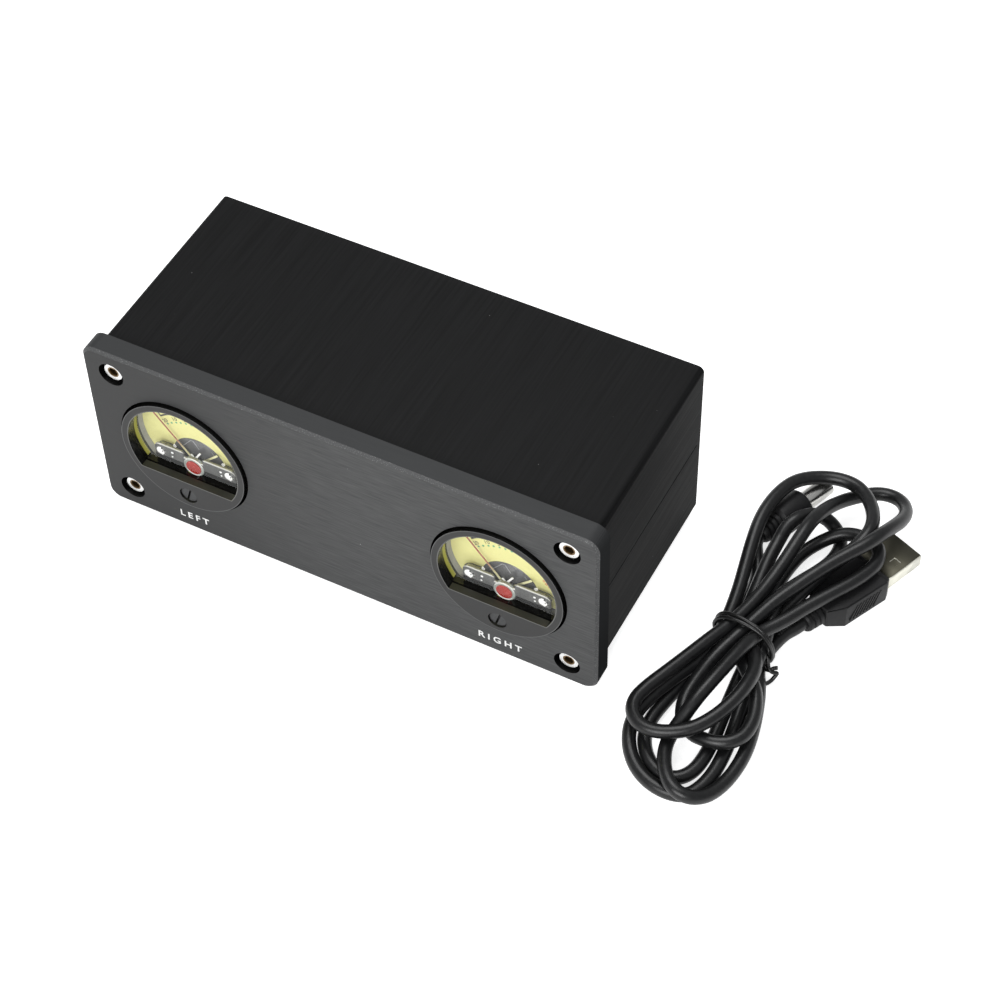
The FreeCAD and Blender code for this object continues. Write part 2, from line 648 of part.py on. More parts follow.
def moving_coil(seat):
    """The coil frame round the core, with its two staffs, at right angles to the pointer."""
    outer = block("2 * coil_half", "coil_rear - coil_front", "coil_wide", "0", "coil_front",
                  "0 - coil_wide / 2")
    inner = block("2 * (coil_half - coil_bar)", "coil_rear - coil_front - 2 * coil_end",
                  "coil_wide", "0", "coil_front + coil_end", "0 - coil_wide / 2")
    front = rod("staff_radius", "coil_front - bridge_rear + bridge_thick / 2",
                y="bridge_rear - bridge_thick / 2")
    rear = rod("staff_radius", "rear_gap + rear_bar / 2", y="coil_rear")
    solid = turned(fuse(cut(outer, inner), front, rear), "0 - rest_angle")
    x, y, z = seat.at
    return node(solid, seat.side + "_moving_coil", x, y, z + " - pivot_drop")


def pointer(seat):
    """The pointer on its hub: a flat arm, a fine blade and three balance arms."""
    hub = rod("hub_radius", "pointer_thick")
    arm = block("arm_wide", "pointer_thick", "arm_long")
    blade = block("blade_wide", "pointer_thick", "blade_long")
    wing = turned(block("balance_wide", "pointer_thick", "2 * balance_long", "0", "0",
                        "0 - balance_long"), "balance_angle")
    place(wing, "0 - balance_wide / 2 * cos(balance_angle) - balance_long * sin(balance_angle)", "0",
          "balance_wide / 2 * sin(balance_angle) - balance_long * cos(balance_angle)")
    tail = block("arm_wide", "pointer_thick", "tail_long", "0", "0", "0 - tail_long")
    solid = cut(fuse(hub, arm, blade, wing, tail), rod("staff_radius", "pointer_thick"))
    turned(solid, "0 - rest_angle")
    x, y, z = seat.at
    return node(solid, seat.side + "_pointer", x, y + " + hub_front", z + " - pivot_drop")


def hairspring(seat):
    """A flat spiral ribbon, wound out from the front staff in half turns."""
    start = number("staff_radius")
    pitch = number("spring_pitch")
    wall = number("spring_wall")
    def spiral(shift):
        edges = []
        for half in range(int(2 * number("spring_turns"))):
            inner = start + shift + pitch * half / 2
            outer = inner + pitch / 2
            side = 1 if half % 2 == 0 else -1
            middle = side * (inner - outer) / 2
            reach = (inner + outer) / 2
            edges.append(Part.Arc(FreeCAD.Vector(side * inner, 0, 0),
                                  FreeCAD.Vector(middle, 0, side * reach),
                                  FreeCAD.Vector(-side * outer, 0, 0)).toShape())
        return edges
    near = spiral(0.0)
    far = spiral(wall)
    caps = [Part.makeLine(a.Vertexes[i].Point, b.Vertexes[i].Point)
            for a, b, i in ((near[0], far[0], 0), (near[-1], far[-1], 1))]
    face = Part.Face(Part.Wire(Part.__sortEdges__(near + far + caps)))
    item = doc.addObject("Part::Feature", "Spiral")
    item.Shape = face.extrude(FreeCAD.Vector(0, number("spring_tall"), 0))
    x, y, z = seat.at
    return node(item, seat.side + "_hairspring", x, y + " + spring_back", z + " - pivot_drop")


class Seat:
    """Where one meter sits: its side's name and the middle of its seat."""
    def __init__(self, side, sign):
        self.side = side
        self.x = sign + "meter_x"
        self.at = (self.x, "case_y", "mid_z")


def meter(seat):
    housing(seat)
    bezel(seat)
    lens(seat)
    dial(seat)
    light_bar(seat)
    badge(seat)
    zero_screw(seat)
    zero_lever(seat)
    front_bridge(seat)
    magnet_frame(seat)
    core(seat)
    moving_coil(seat)
    pointer(seat)
    hairspring(seat)


# Small parts that both meters share

def dial_screws(seats):
    heads = []
    for seat in seats:
        for side in ("-", "+"):
            heads.append(rod("dial_screw_radius", "dial_screw_tall",
                             "%s %s dial_screw_x" % (seat.x, side), "0 - dial_screw_tall",
                             "0 - dial_screw_up"))
    return node(group(*heads), "dial_screws", "0", "case_y", "mid_z")


def lamps(seats):
    lights = []
    for seat in seats:
        for side in ("-", "+"):
            lights.append(block("lamp_size", "lamp_thick", "lamp_size",
                                "%s %s lamp_at" % (seat.x, side), "bar_front + bar_thick",
                                "0 - (bar_low + bar_high) / 2 - lamp_size / 2"))
    return node(group(*lights), "meter_lamps", "0", "case_y", "mid_z")


def tags(seats):
    pins = []
    for seat in seats:
        for side in ("-", "+"):
            x = "%s %s tag_apart / 2" % (seat.x, side)
            base = rod("tag_base", "tag_base_thick", x, "can_long", "tag_up")
            blade = block("tag_wide", "tag_long", "tag_thick", x, "can_long",
                          "tag_up - tag_thick / 2")
            pins.append(fuse(base, blade))
    return node(group(*pins), "meter_tags", "0", "case_y", "mid_z")


# Round tube along straight runs joined by tangent arcs

def bent_path(points, share=0.45):
    """The wire of a route, and the radius of each of its arcs."""
    spots = [FreeCAD.Vector(*p) for p in points]
    edges = []
    radii = []
    start = spots[0]
    for before, here, after in zip(spots, spots[1:], spots[2:]):
        back = (before - here)
        ahead = (after - here)
        run = share * min(back.Length, ahead.Length)
        back.normalize()
        ahead.normalize()
        half_turn = (math.pi - back.getAngle(ahead)) / 2
        radius = run / math.tan(half_turn)
        into = here + back * run
        out = here + ahead * run
        mid = (back + ahead)
        mid.normalize()
        sagitta = radius / math.cos(half_turn) - radius
        top = here + mid * sagitta
        edges.append(Part.LineSegment(start, into).toShape())
        edges.append(Part.Arc(into, top, out).toShape())
        radii.append(radius)
        start = out
    edges.append(Part.LineSegment(start, spots[-1]).toShape())
    return Part.Wire(edges), radii


def tube(points, radius):
    """A round solid along a route, its volume checked against its section times its length."""
    path, radii = bent_path(points)
    heading = FreeCAD.Vector(*points[1]) - FreeCAD.Vector(*points[0])
    ring = Part.Wire(Part.makeCircle(radius, FreeCAD.Vector(*points[0]), heading))
    solid = path.makePipeShell([ring], True, True)
    wanted = math.pi * radius ** 2 * path.Length
    assert abs(solid.Volume / wanted - 1) < 0.01, "tube volume"
    return solid, path.Length, radii


def meter_wires(seats):
    """Two wires from each meter's tags down to its plug on the board."""
    wires = []
    radius = number("wire_radius")
    for seat, plug in zip(seats, ("0 - plug_x", "plug_x")):
        for side in (-1, 1):
            x = number(seat.x) + side * number("tag_apart / 2")
            y = number("case_y + can_long + tag_long")
            z = number("mid_z + tag_up")
            end_x = number(plug) + side * number("plug_wide / 4")
            end_y = number("rear_y - plug_from_rear + plug_deep / 2")
            end_z = number("board_top + plug_tall")
            turn_x = x + (end_x - x) * number("wire_turn_share")
            route = [(x, y, z), (x, y + number("wire_out"), z + number("wire_lift")),
                     (turn_x, y + number("wire_turn_out"), z - number("wire_turn_drop")),
                     (end_x, end_y, end_z + number("wire_stand")), (end_x, end_y, end_z)]
            wires.append(tube(route, radius)[0])
    item = doc.addObject("Part::Feature", "Wires")
    item.Shape = Part.makeCompound(wires)
    return node(item, "meter_wires")


# Driver board

CAPACITORS = 5
RESISTORS = 6


def board():
    plate = block("2 * board_half", "board_long", "board_thick")
    return node(plate, "driver_board", "0 - board_half", "board_y", "board_low")


def row_of(make, count, step):
    """Pieces in a row along X, centred on X = 0."""
    return [make("(%s) * %s" % (i - (count - 1) / 2, step)) for i in range(count)]


def board_plugs():
    plugs = [block("plug_wide", "plug_deep", "plug_tall", side + "plug_x") for side in ("-", "")]
    return node(group(*plugs), "board_plugs", "0", "rear_y - plug_from_rear", "board_top")


def chips():
    pair = [block("chip_wide", "chip_deep", "chip_tall", side + "chip_x") for side in ("-", "")]
    return node(group(*pair), "driver_chips", "0", "rear_y - chip_from_rear", "board_top")


def capacitors():
    cans = row_of(lambda x: rod("cap_radius", "cap_tall", x, along="z"),
                  CAPACITORS, "cap_step")
    return node(group(*cans), "capacitors", "0", "rear_y - cap_from_rear", "board_top")


def resistors():
    tubes = row_of(lambda x: rod("resistor_radius", "resistor_long", x, "0", "resistor_radius"),
                   RESISTORS, "resistor_step")
    return node(group(*tubes), "resistors", "0", "rear_y - resistor_from_rear", "board_top")


def trimmers():
    """The two level trimmers, with the wells that their rotors turn in."""
    bodies = []
    for side in ("-", ""):
        shell = block("trimmer_wide", "trimmer_deep", "trimmer_tall", side + "trimmer_x",
                      "0 - trimmer_deep")
        well = rod("rotor_radius + rotor_fit", "rotor_long - rotor_proud", side + "trimmer_x",
                   "rotor_proud - rotor_long", "trimmer_axis")
        bodies.append(cut(shell, well))
    node(group(*bodies), "trimmer_bodies", "0", "trimmer_y", "board_top")
    for side, sign in (("left", "-"), ("right", "")):
        screw = cut(rod("rotor_radius", "rotor_long - rotor_seat"),
                    block("rotor_slot", "rotor_proud / 2", "2 * rotor_radius", "0",
                          "rotor_long - rotor_seat - rotor_proud / 2", "0 - rotor_radius"))
        node(screw, side + "_trimmer_rotor", sign + "trimmer_x",
             "trimmer_y + rotor_proud - rotor_long + rotor_seat", "trimmer_z")


# Rear sockets

def input_sockets():
    bodies = []
    barrels = []
    for step in ("0", "input_step"):
        x = "%s - input_x" % step
        core_radius = "barrel_radius - barrel_wall"
        shell = block("input_wide", "input_deep", "input_tall", x, "0 - input_deep",
                      "0 - input_axis")
        nose = rod(core_radius, "nose_long - nose_back", x)
        bore = rod("input_bore", "input_bore_deep", x, "nose_long - nose_back - input_bore_deep")
        bodies.append(cut(fuse(shell, nose), bore))
        barrels.append(cut(rod("barrel_radius", "barrel_proud", x), rod(core_radius, "barrel_proud", x)))
    node(group(*bodies), "input_sockets", "0", "socket_y", "input_z")
    return node(group(*barrels), "input_barrels", "0", "rear_y + rear_thick", "input_z")


def power_socket():
    shell = block("power_wide", "power_deep", "power_tall", "0", "0 - power_deep", "0 - power_axis")
    nose = rod("power_nose", "power_nose_long")
    bore = rod("power_bore", "power_bore_deep", y="power_nose_long - power_bore_deep")
    node(cut(fuse(shell, nose), bore), "power_socket", "power_x", "socket_y", "power_z")
    pin = rod("power_pin", "power_bore_deep - power_pin_sink")
    return node(pin, "power_pin", "power_x", "socket_y + power_nose_long - power_bore_deep", "power_z")


# Supply lead, lying unplugged beside the case: its places are chosen points on the desk

DC_REAR = (92.8, 26.7)
DC_HEADING = 20.6
USB_REAR = (114.6, 5.0)
USB_HEADING = 22.0
WAIST_AT = (103.0, -7.5)

# the hank's outer shape from above: an upper and a lower loop, and the open middle of each
UPPER_OUTSIDE = [(95.5, -3), (89, 18), (88.5, 42), (97, 56), (111, 58), (125, 59), (130.5, 50),
                 (128.5, 30), (118, 8), (110.5, -3)]
UPPER_INSIDE = [(102, 8), (97.5, 24), (98, 38), (105, 47), (114, 48), (120, 42), (118, 28), (109, 8)]
LOWER_OUTSIDE = [(95.5, -12), (85, -34), (84.5, -48), (91, -59.5), (104, -62.5), (115, -60.5),
                 (119.5, -48), (118, -30), (110.5, -12)]
LOWER_INSIDE = [(101.5, -20), (93.5, -35), (93, -45), (99, -53), (108, -54), (112, -47), (111, -34),
                (106, -20)]

# the free stretch of cord between the hank and the flat plug
USB_TAIL = [(114.6, 5.0, 4.0), (112.5, -0.3, 3.9), (110.7, -6.0, 2.8), (108.2, -11.6, 1.9)]

# the tie's twisted end, from the side of its band at the band's middle
TIE_END = [(-0.3, 0, 4.0), (2.5, -0.5, 3.6), (3.5, -4, 1.8), (2.5, -9, 1.0)]


def heading_turn(heading):
    return FreeCAD.Rotation(FreeCAD.Vector(0, 0, 1), -heading)


def laid(item, label, rear, heading, height):
    """Lay a plug's piece on the desk, its local Y along the heading."""
    item.Placement = FreeCAD.Placement(FreeCAD.Vector(), heading_turn(heading))
    return node(item, label, str(rear[0]), str(rear[1]), height)


def rounded_slab(corners, low, tall):
    """An upright slab whose outline runs straight between tangent arcs at its corners."""
    loop = [(x, y, low) for x, y in corners]
    middle = tuple((a + b) / 2 for a, b in zip(loop[-1], loop[0]))
    wire, radii = bent_path([middle] + loop + [middle])
    return Part.Face(wire).extrude(FreeCAD.Vector(0, 0, tall))


def plug_room(rear, heading, half_wide, height, long, ahead):
    """The space that a plug takes up under the loops that cross it."""
    room = number("plug_room")
    base = FreeCAD.Vector(rear[0], rear[1], 0)
    solid = Part.makeBox(2 * (half_wide + room), long, height + room,
                         FreeCAD.Vector(-half_wide - room, ahead, 0))
    solid.Placement = FreeCAD.Placement(base, heading_turn(heading))
    return solid


def hank():
    """One closed solid of the outer shape of the tied hank."""
    tall = number("hank_tall")
    waist_wide = number("waist_wide")
    loops = [rounded_slab(UPPER_OUTSIDE, 0, tall).cut(rounded_slab(UPPER_INSIDE, 0, tall)),
             rounded_slab(LOWER_OUTSIDE, 0, tall).cut(rounded_slab(LOWER_INSIDE, 0, tall))]
    waist_long = number("waist_long")
    waist = Part.makeBox(waist_wide, waist_long, number("waist_tall"),
                         FreeCAD.Vector(WAIST_AT[0] - waist_wide / 2, WAIST_AT[1] - waist_long / 2,
                                        number("waist_low")))
    dc_whole = number("dc_long + dc_barrel_long + plug_room_end")
    solid = waist.fuse(loops)
    solid = solid.cut(plug_room(DC_REAR, DC_HEADING, number("dc_radius"), number("2 * dc_radius"),
                                dc_whole, 0))
    solid = solid.cut(plug_room(USB_REAR, USB_HEADING, number("usb_wide / 2"), number("usb_tall"),
                                number("tail_room + usb_long + shell_long + plug_room_end"),
                                number("0 - tail_room")))
    item = doc.addObject("Part::Feature", "Hank")
    item.Shape = solid.removeSplitter()
    return node(item, "lead_hank")


def usb_tail():
    solid, length, radii = tube(USB_TAIL, number("cord_radius"))
    print("lead_tail: %.1f mm long, arc radii %s" % (length, [round(r, 1) for r in radii]))
    item = doc.addObject("Part::Feature", "Tail")
    item.Shape = solid
    return node(item, "lead_tail")


def twist_tie():
    """The wire tie round the hank's waist, with its twisted end on the desk."""
    band = cut(block("waist_wide + 2 * tie_thick", "tie_wide", "waist_tall + waist_low + tie_thick"),
               block("waist_wide", "tie_wide", "waist_tall", "0", "0", "waist_low"))
    half = number("waist_wide / 2 + tie_thick")
    middle = number("tie_wide / 2")
    route = [(half + x, middle + y, z) for x, y, z in TIE_END]
    end = doc.addObject("Part::Feature", "Twist")
    end.Shape = tube(route, number("tie_wire"))[0]
    return node(fuse(band, end), "twist_tie", str(WAIST_AT[0]), "%s - tie_wide / 2" % WAIST_AT[1], "0")


def dc_plug():
    relief = rod("dc_relief_radius", "dc_relief_long")
    body = rod("dc_radius", "dc_long - dc_relief_long", y="dc_relief_long")
    laid(fuse(relief, body), "dc_plug_grip", DC_REAR, DC_HEADING, "dc_radius")
    barrel = cut(rod("dc_barrel_radius", "dc_barrel_long", y="dc_long"),
                 rod("dc_barrel_bore", "dc_bore_deep", y="dc_long + dc_barrel_long - dc_bore_deep"))
    return laid(barrel, "dc_plug_barrel", DC_REAR, DC_HEADING, "dc_radius")


def usb_grip():
    body = new_body("usb_grip_body")
    outline = new_sketch(body, "XY_Plane")
    neck = "usb_neck_wide / 2"
    right = [(neck, "usb_neck_at"), ("usb_shoulder_wide / 2", "usb_shoulder_at"),
             ("usb_wide / 2", "usb_long - usb_nose"), ("usb_nose_wide / 2", "usb_long")]
    draw_outline(outline, right + [("-" + x, y) for x, y in reversed(right)])
    solid = body.newObject("PartDesign::Pad", "Pad")
    solid.Profile = outline
    solid.Midplane = True
    bind(solid, Length="usb_tall")
    doc.recompute()
    long = number("usb_long")
    dress_edges(body, "Fillet", "usb_edge", lambda e: e.BoundBox.YMin < long - 0.01)
    whole = fuse(body, rod("usb_relief_radius", "usb_neck_at"))
    return laid(whole, "usb_plug_grip", USB_REAR, USB_HEADING, "usb_tall / 2")


def usb_shell():
    inside_wide = "shell_wide - 2 * shell_wall"
    inside_tall = "shell_tall - 2 * shell_wall"
    shell = cut(block("shell_wide", "shell_long", "shell_tall", "0", "usb_long", "0 - shell_tall / 2"),
                block(inside_wide, "shell_deep", inside_tall, "0", "usb_long + shell_long - shell_deep",
                      "shell_wall - shell_tall / 2"))
    laid(shell, "usb_plug_shell", USB_REAR, USB_HEADING, "usb_tall / 2")
    tongue = block("tongue_wide", "tongue_long", "tongue_thick", "0",
                   "usb_long + shell_long - shell_deep", "shell_tall / 2 - shell_wall - tongue_thick")
    return laid(group(tongue), "usb_plug_tongue", USB_REAR, USB_HEADING, "usb_tall / 2")


def check_and_write():
    doc.recompute()
    for item in doc.Objects:
        bad = [word for word in item.State if word in ("Invalid", "Error")]
        assert not bad, (item.Name, item.Label, item.State)
    os.makedirs("parts", exist_ok=True)
    for item in NODES:
        shape = item.Shape
        assert not shape.isNull() and shape.isValid(), item.Label
        assert shape.Solids, item.Label
        shape.exportStep("parts/%s.step" % item.Label)
        box = shape.BoundBox
        print("%-22s solids %d volume %9.2f  x %7.2f %7.2f  y %7.2f %7.2f  z %6.2f %6.2f" % (
            item.Label, len(shape.Solids), shape.Volume,
            box.XMin, box.XMax, box.YMin, box.YMax, box.ZMin, box.ZMax))


SEATS = (Seat("left", "0 - "), Seat("right", "0 + "))

front_panel()
case_half("lower_case", False)
case_half("upper_case", True)
rear_panel()
screw_set("front_screws", front_screw, "front_y + head_sink")
screw_set("rear_screws", rear_screw, "rear_y + rear_thick")
feet()
for one in SEATS:
    meter(one)
dial_screws(SEATS)
lamps(SEATS)
tags(SEATS)
meter_wires(SEATS)
board()
board_plugs()
chips()
capacitors()
resistors()
trimmers()
input_sockets()
power_socket()
hank()
usb_tail()
twist_tie()
dc_plug()
usb_grip()
usb_shell()
check_and_write()
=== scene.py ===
import math

import bmesh
import bpy
import numpy
from mathutils import Matrix, Vector


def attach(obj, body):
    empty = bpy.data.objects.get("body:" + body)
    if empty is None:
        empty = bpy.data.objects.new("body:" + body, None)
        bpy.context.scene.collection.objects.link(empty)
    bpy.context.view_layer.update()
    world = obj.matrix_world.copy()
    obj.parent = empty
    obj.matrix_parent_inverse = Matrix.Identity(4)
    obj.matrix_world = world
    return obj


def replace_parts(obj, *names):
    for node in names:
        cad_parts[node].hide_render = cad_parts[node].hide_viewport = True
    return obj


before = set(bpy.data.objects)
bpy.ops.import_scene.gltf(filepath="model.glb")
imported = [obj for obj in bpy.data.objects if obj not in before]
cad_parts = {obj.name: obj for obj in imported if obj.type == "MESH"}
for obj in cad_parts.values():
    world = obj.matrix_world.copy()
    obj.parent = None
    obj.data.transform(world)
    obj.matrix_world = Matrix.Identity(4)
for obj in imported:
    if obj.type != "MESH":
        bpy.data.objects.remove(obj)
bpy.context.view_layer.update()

# Twin analogue level meter with its tied supply lead.
# Metres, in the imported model's frame: X right, Y from front to rear, Z up from the desk.

MM = 0.001


# ---------------------------------------------------------------- camera, floor and light

# the camera's place in metres, its angles in degrees, and its lens and sensor in millimetres
CAMERA_AT = (0.24137, -0.38855, 0.54107)
CAMERA_AZIMUTH = 28.834
CAMERA_ELEVATION = 49.990
CAMERA_ROLL = 1.683
LENS = 92.17
SENSOR = 36.0


def aim_camera():
    azimuth, elevation, roll = (
        math.radians(degrees) for degrees in (CAMERA_AZIMUTH, CAMERA_ELEVATION, CAMERA_ROLL))
    back = Vector((math.sin(azimuth) * math.cos(elevation),
                   -math.cos(azimuth) * math.cos(elevation), math.sin(elevation)))
    right = Vector((0, 0, 1)).cross(back).normalized()
    up = back.cross(right)
    right_rolled = math.cos(roll) * right - math.sin(roll) * up
    up_rolled = math.sin(roll) * right + math.cos(roll) * up
    turn = Matrix((right_rolled, up_rolled, back)).transposed().to_4x4()
    data = bpy.data.cameras.new("camera")
    data.lens = LENS
    data.sensor_width = SENSOR
    data.clip_start = 0.01
    camera = bpy.data.objects.new("camera", data)
    camera.matrix_world = Matrix.Translation(CAMERA_AT) @ turn
    bpy.context.collection.objects.link(camera)
    bpy.context.scene.camera = camera


# the spot that the lamps light, and the room's own light
LIT_SPOT = (0.03, 0.0, 0.02)
ROOM_COLOUR = (0.62, 0.63, 0.64, 1)
ROOM_STRENGTH = 0.6
# how bright the paper is to each kind of ray, as a sum
PAPER_GLOW = (("Is Camera Ray", 0.72), ("Is Glossy Ray", 0.45), ("Is Transmission Ray", 0.45))
PAPER_COLOUR = (0.80, 0.80, 0.80, 1)
PAPER_REACH = 6.0


def add_lamp(name, at, wide, tall, watts):
    """A soft box that faces the lit spot."""
    data = bpy.data.lights.new(name, "AREA")
    data.shape = "RECTANGLE"
    data.size = wide
    data.size_y = tall
    data.energy = watts
    lamp = bpy.data.objects.new(name, data)
    aim = (Vector(LIT_SPOT) - Vector(at)).to_track_quat("-Z", "Y")
    lamp.matrix_world = Matrix.Translation(at) @ aim.to_matrix().to_4x4()
    bpy.context.collection.objects.link(lamp)


def paper_glow(nodes, links):
    """The paper's own brightness: high to the camera, lower in reflections, none as light."""
    path = nodes.new("ShaderNodeLightPath")
    level = None
    for ray, strength in PAPER_GLOW:
        node = nodes.new("ShaderNodeMath")
        node.operation = "MULTIPLY_ADD"
        node.inputs[1].default_value = strength
        node.inputs[2].default_value = 0
        links.new(path.outputs[ray], node.inputs[0])
        if level:
            links.new(level, node.inputs[2])
        level = node.outputs[0]
    return level


def lay_floor():
    mesh = bpy.data.meshes.new("floor")
    shape = bmesh.new()
    bmesh.ops.create_grid(shape, x_segments=1, y_segments=1, size=PAPER_REACH)
    shape.to_mesh(mesh)
    shape.free()
    floor = bpy.data.objects.new("floor", mesh)
    bpy.context.collection.objects.link(floor)
    paper = bpy.data.materials.new("floor_paper")
    paper.use_nodes = True
    nodes, links = paper.node_tree.nodes, paper.node_tree.links
    nodes.clear()
    out = nodes.new("ShaderNodeOutputMaterial")
    total = nodes.new("ShaderNodeAddShader")
    matt = nodes.new("ShaderNodeBsdfDiffuse")
    matt.inputs["Color"].default_value = PAPER_COLOUR
    glow = nodes.new("ShaderNodeEmission")
    links.new(paper_glow(nodes, links), glow.inputs["Strength"])
    links.new(matt.outputs[0], total.inputs[0])
    links.new(glow.outputs[0], total.inputs[1])
    links.new(total.outputs[0], out.inputs["Surface"])
    mesh.materials.append(paper)


def light_up():
    world = bpy.data.worlds.new("studio")
    bpy.context.scene.world = world
    world.use_nodes = True
    room = world.node_tree.nodes["Background"]
    room.inputs["Color"].default_value = ROOM_COLOUR
    room.inputs["Strength"].default_value = ROOM_STRENGTH
    add_lamp("front_box", at=(0.15, -1.1, 0.75), wide=1.0, tall=0.7, watts=14)
    add_lamp("top_box", at=(-0.2, 0.25, 1.2), wide=0.8, tall=0.8, watts=9)
    bpy.context.scene.view_settings.view_transform = "Standard"


# ---------------------------------------------------------------- finishes

# how deep a full bump is, in millimetres
BUMP_DEPTH = 0.05
# a Mix node's sockets for numbers and for colours: first, second and result
NUMBER_A, NUMBER_B, NUMBER_OUT = 2, 3, 0
COLOUR_A, COLOUR_B, COLOUR_OUT = 6, 7, 2


def grain_group():
    """Grain that varies a surface's colour, roughness and height."""
    group = bpy.data.node_groups.new("surface_grain", "ShaderNodeTree")
    for name, kind in (("Place", "Vector"), ("Stretch", "Vector"), ("Scale", "Float"),
                       ("Dark", "Color"), ("Light", "Color"), ("Smooth", "Float"), ("Dull", "Float")):
        group.interface.new_socket(name=name, in_out="INPUT", socket_type="NodeSocket" + kind)
    for name, kind in (("Colour", "Color"), ("Roughness", "Float"), ("Height", "Float")):
        group.interface.new_socket(name=name, in_out="OUTPUT", socket_type="NodeSocket" + kind)
    nodes, links = group.nodes, group.links
    given = nodes.new("NodeGroupInput")
    made = nodes.new("NodeGroupOutput")
    stretch = nodes.new("ShaderNodeVectorMath")
    stretch.operation = "MULTIPLY"
    links.new(given.outputs["Place"], stretch.inputs[0])
    links.new(given.outputs["Stretch"], stretch.inputs[1])
    fine = nodes.new("ShaderNodeTexNoise")
    fine.inputs["Detail"].default_value = 4
    fine.inputs["Roughness"].default_value = 0.65
    links.new(stretch.outputs[0], fine.inputs["Vector"])
    links.new(given.outputs["Scale"], fine.inputs["Scale"])
    spread = nodes.new("ShaderNodeMapRange")
    spread.inputs["From Min"].default_value = 0.3
    spread.inputs["From Max"].default_value = 0.7
    links.new(fine.outputs[0], spread.inputs["Value"])
    tint = nodes.new("ShaderNodeMix")
    tint.data_type = "RGBA"
    links.new(spread.outputs[0], tint.inputs[0])
    links.new(given.outputs["Dark"], tint.inputs[COLOUR_A])
    links.new(given.outputs["Light"], tint.inputs[COLOUR_B])
    dull = nodes.new("ShaderNodeMix")
    links.new(spread.outputs[0], dull.inputs[0])
    links.new(given.outputs["Smooth"], dull.inputs[NUMBER_A])
    links.new(given.outputs["Dull"], dull.inputs[NUMBER_B])
    links.new(tint.outputs[COLOUR_OUT], made.inputs["Colour"])
    links.new(dull.outputs[NUMBER_OUT], made.inputs["Roughness"])
    links.new(spread.outputs[0], made.inputs["Height"])
    return group


GRAIN = grain_group()


class Finish:
    """A material of one Principled shader, fed by the grain between two colours and roughnesses."""

    def __init__(self, name, dark, light, rough, scale, stretch=(1, 1, 1), bump=0.1, metallic=0.0,
                 **sockets):
        self.material = bpy.data.materials.new(name)
        self.material.use_nodes = True
        self.nodes, self.links = self.material.node_tree.nodes, self.material.node_tree.links
        self.shader = self.nodes["Principled BSDF"]
        self.shader.inputs["Metallic"].default_value = metallic
        for socket, value in sockets.items():
            self.shader.inputs[socket.replace("_", " ")].default_value = value
        self.place = self.nodes.new("ShaderNodeTexCoord").outputs["Object"]
        grain = self.nodes.new("ShaderNodeGroup")
        grain.node_tree = GRAIN
        given = grain.inputs
        given["Stretch"].default_value = stretch
        given["Scale"].default_value = scale
        given["Dark"].default_value = (*dark, 1)
        given["Light"].default_value = (*light, 1)
        given["Smooth"].default_value, given["Dull"].default_value = rough
        self.links.new(self.place, given["Place"])
        self.links.new(grain.outputs["Colour"], self.shader.inputs["Base Color"])
        self.links.new(grain.outputs["Roughness"], self.shader.inputs["Roughness"])
        relief = self.nodes.new("ShaderNodeBump")
        relief.inputs["Strength"].default_value = bump
        relief.inputs["Distance"].default_value = BUMP_DEPTH * MM
        self.links.new(grain.outputs["Height"], relief.inputs["Height"])
        self.links.new(relief.outputs[0], self.shader.inputs["Normal"])

    def math(self, operation, *values):
        node = self.nodes.new("ShaderNodeMath")
        node.operation = operation
        for socket, value in zip(node.inputs, values):
            if isinstance(value, (int, float)):
                socket.default_value = value
            else:
                self.links.new(value, socket)
        return node.outputs[0]

    def product(self, first, *others):
        for other in others:
            first = self.math("MULTIPLY", first, other)
        return first

    def ramp(self, value, start, end):
        """A mask that goes smoothly from 0 at the start to 1 at the end, which may be the lower."""
        node = self.nodes.new("ShaderNodeMapRange")
        node.interpolation_type = "SMOOTHSTEP"
        node.inputs["From Min"].default_value = start
        node.inputs["From Max"].default_value = end
        self.links.new(value, node.inputs["Value"])
        return node.outputs[0]

    def ramp_mm(self, value, start, end):
        """A ramp between two places in millimetres."""
        return self.ramp(value, start * MM, end * MM)

    def parts(self, vector):
        node = self.nodes.new("ShaderNodeSeparateXYZ")
        self.links.new(vector, node.inputs[0])
        return node.outputs

    def axes(self):
        """The place on the object, in metres."""
        return self.parts(self.place)

    def facing(self):
        """Which way the surface faces, without its bump."""
        return self.parts(self.nodes.new("ShaderNodeNewGeometry").outputs["True Normal"])

    def tint(self, mask, colour):
        """Lay a colour over the base colour where the mask is 1."""
        socket = self.shader.inputs["Base Color"]
        node = self.nodes.new("ShaderNodeMix")
        node.data_type = "RGBA"
        self.links.new(mask, node.inputs[0])
        self.links.new(socket.links[0].from_socket, node.inputs[COLOUR_A])
        node.inputs[COLOUR_B].default_value = (*colour, 1)
        self.links.new(node.outputs[COLOUR_OUT], socket)

    def vary(self, name, mask, value):
        """Bring a varying number to a value where the mask is 1."""
        socket = self.shader.inputs[name]
        node = self.nodes.new("ShaderNodeMix")
        self.links.new(mask, node.inputs[0])
        if socket.links:
            self.links.new(socket.links[0].from_socket, node.inputs[NUMBER_A])
        else:
            node.inputs[NUMBER_A].default_value = socket.default_value
        node.inputs[NUMBER_B].default_value = value
        self.links.new(node.outputs[NUMBER_OUT], socket)


def both(*names):
    return [side + "_" + name for side in ("left", "right") for name in names]


def dress(finish, *names):
    for name in names:
        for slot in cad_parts[name].material_slots:
            slot.material = finish.material


# ---------------------------------------------------------------- the supply lead

# the cord, and the middle of the hank's waist, where the tie holds it, in millimetres
CORD_RADIUS = 1.9
WAIST = (103.0, -7.5)
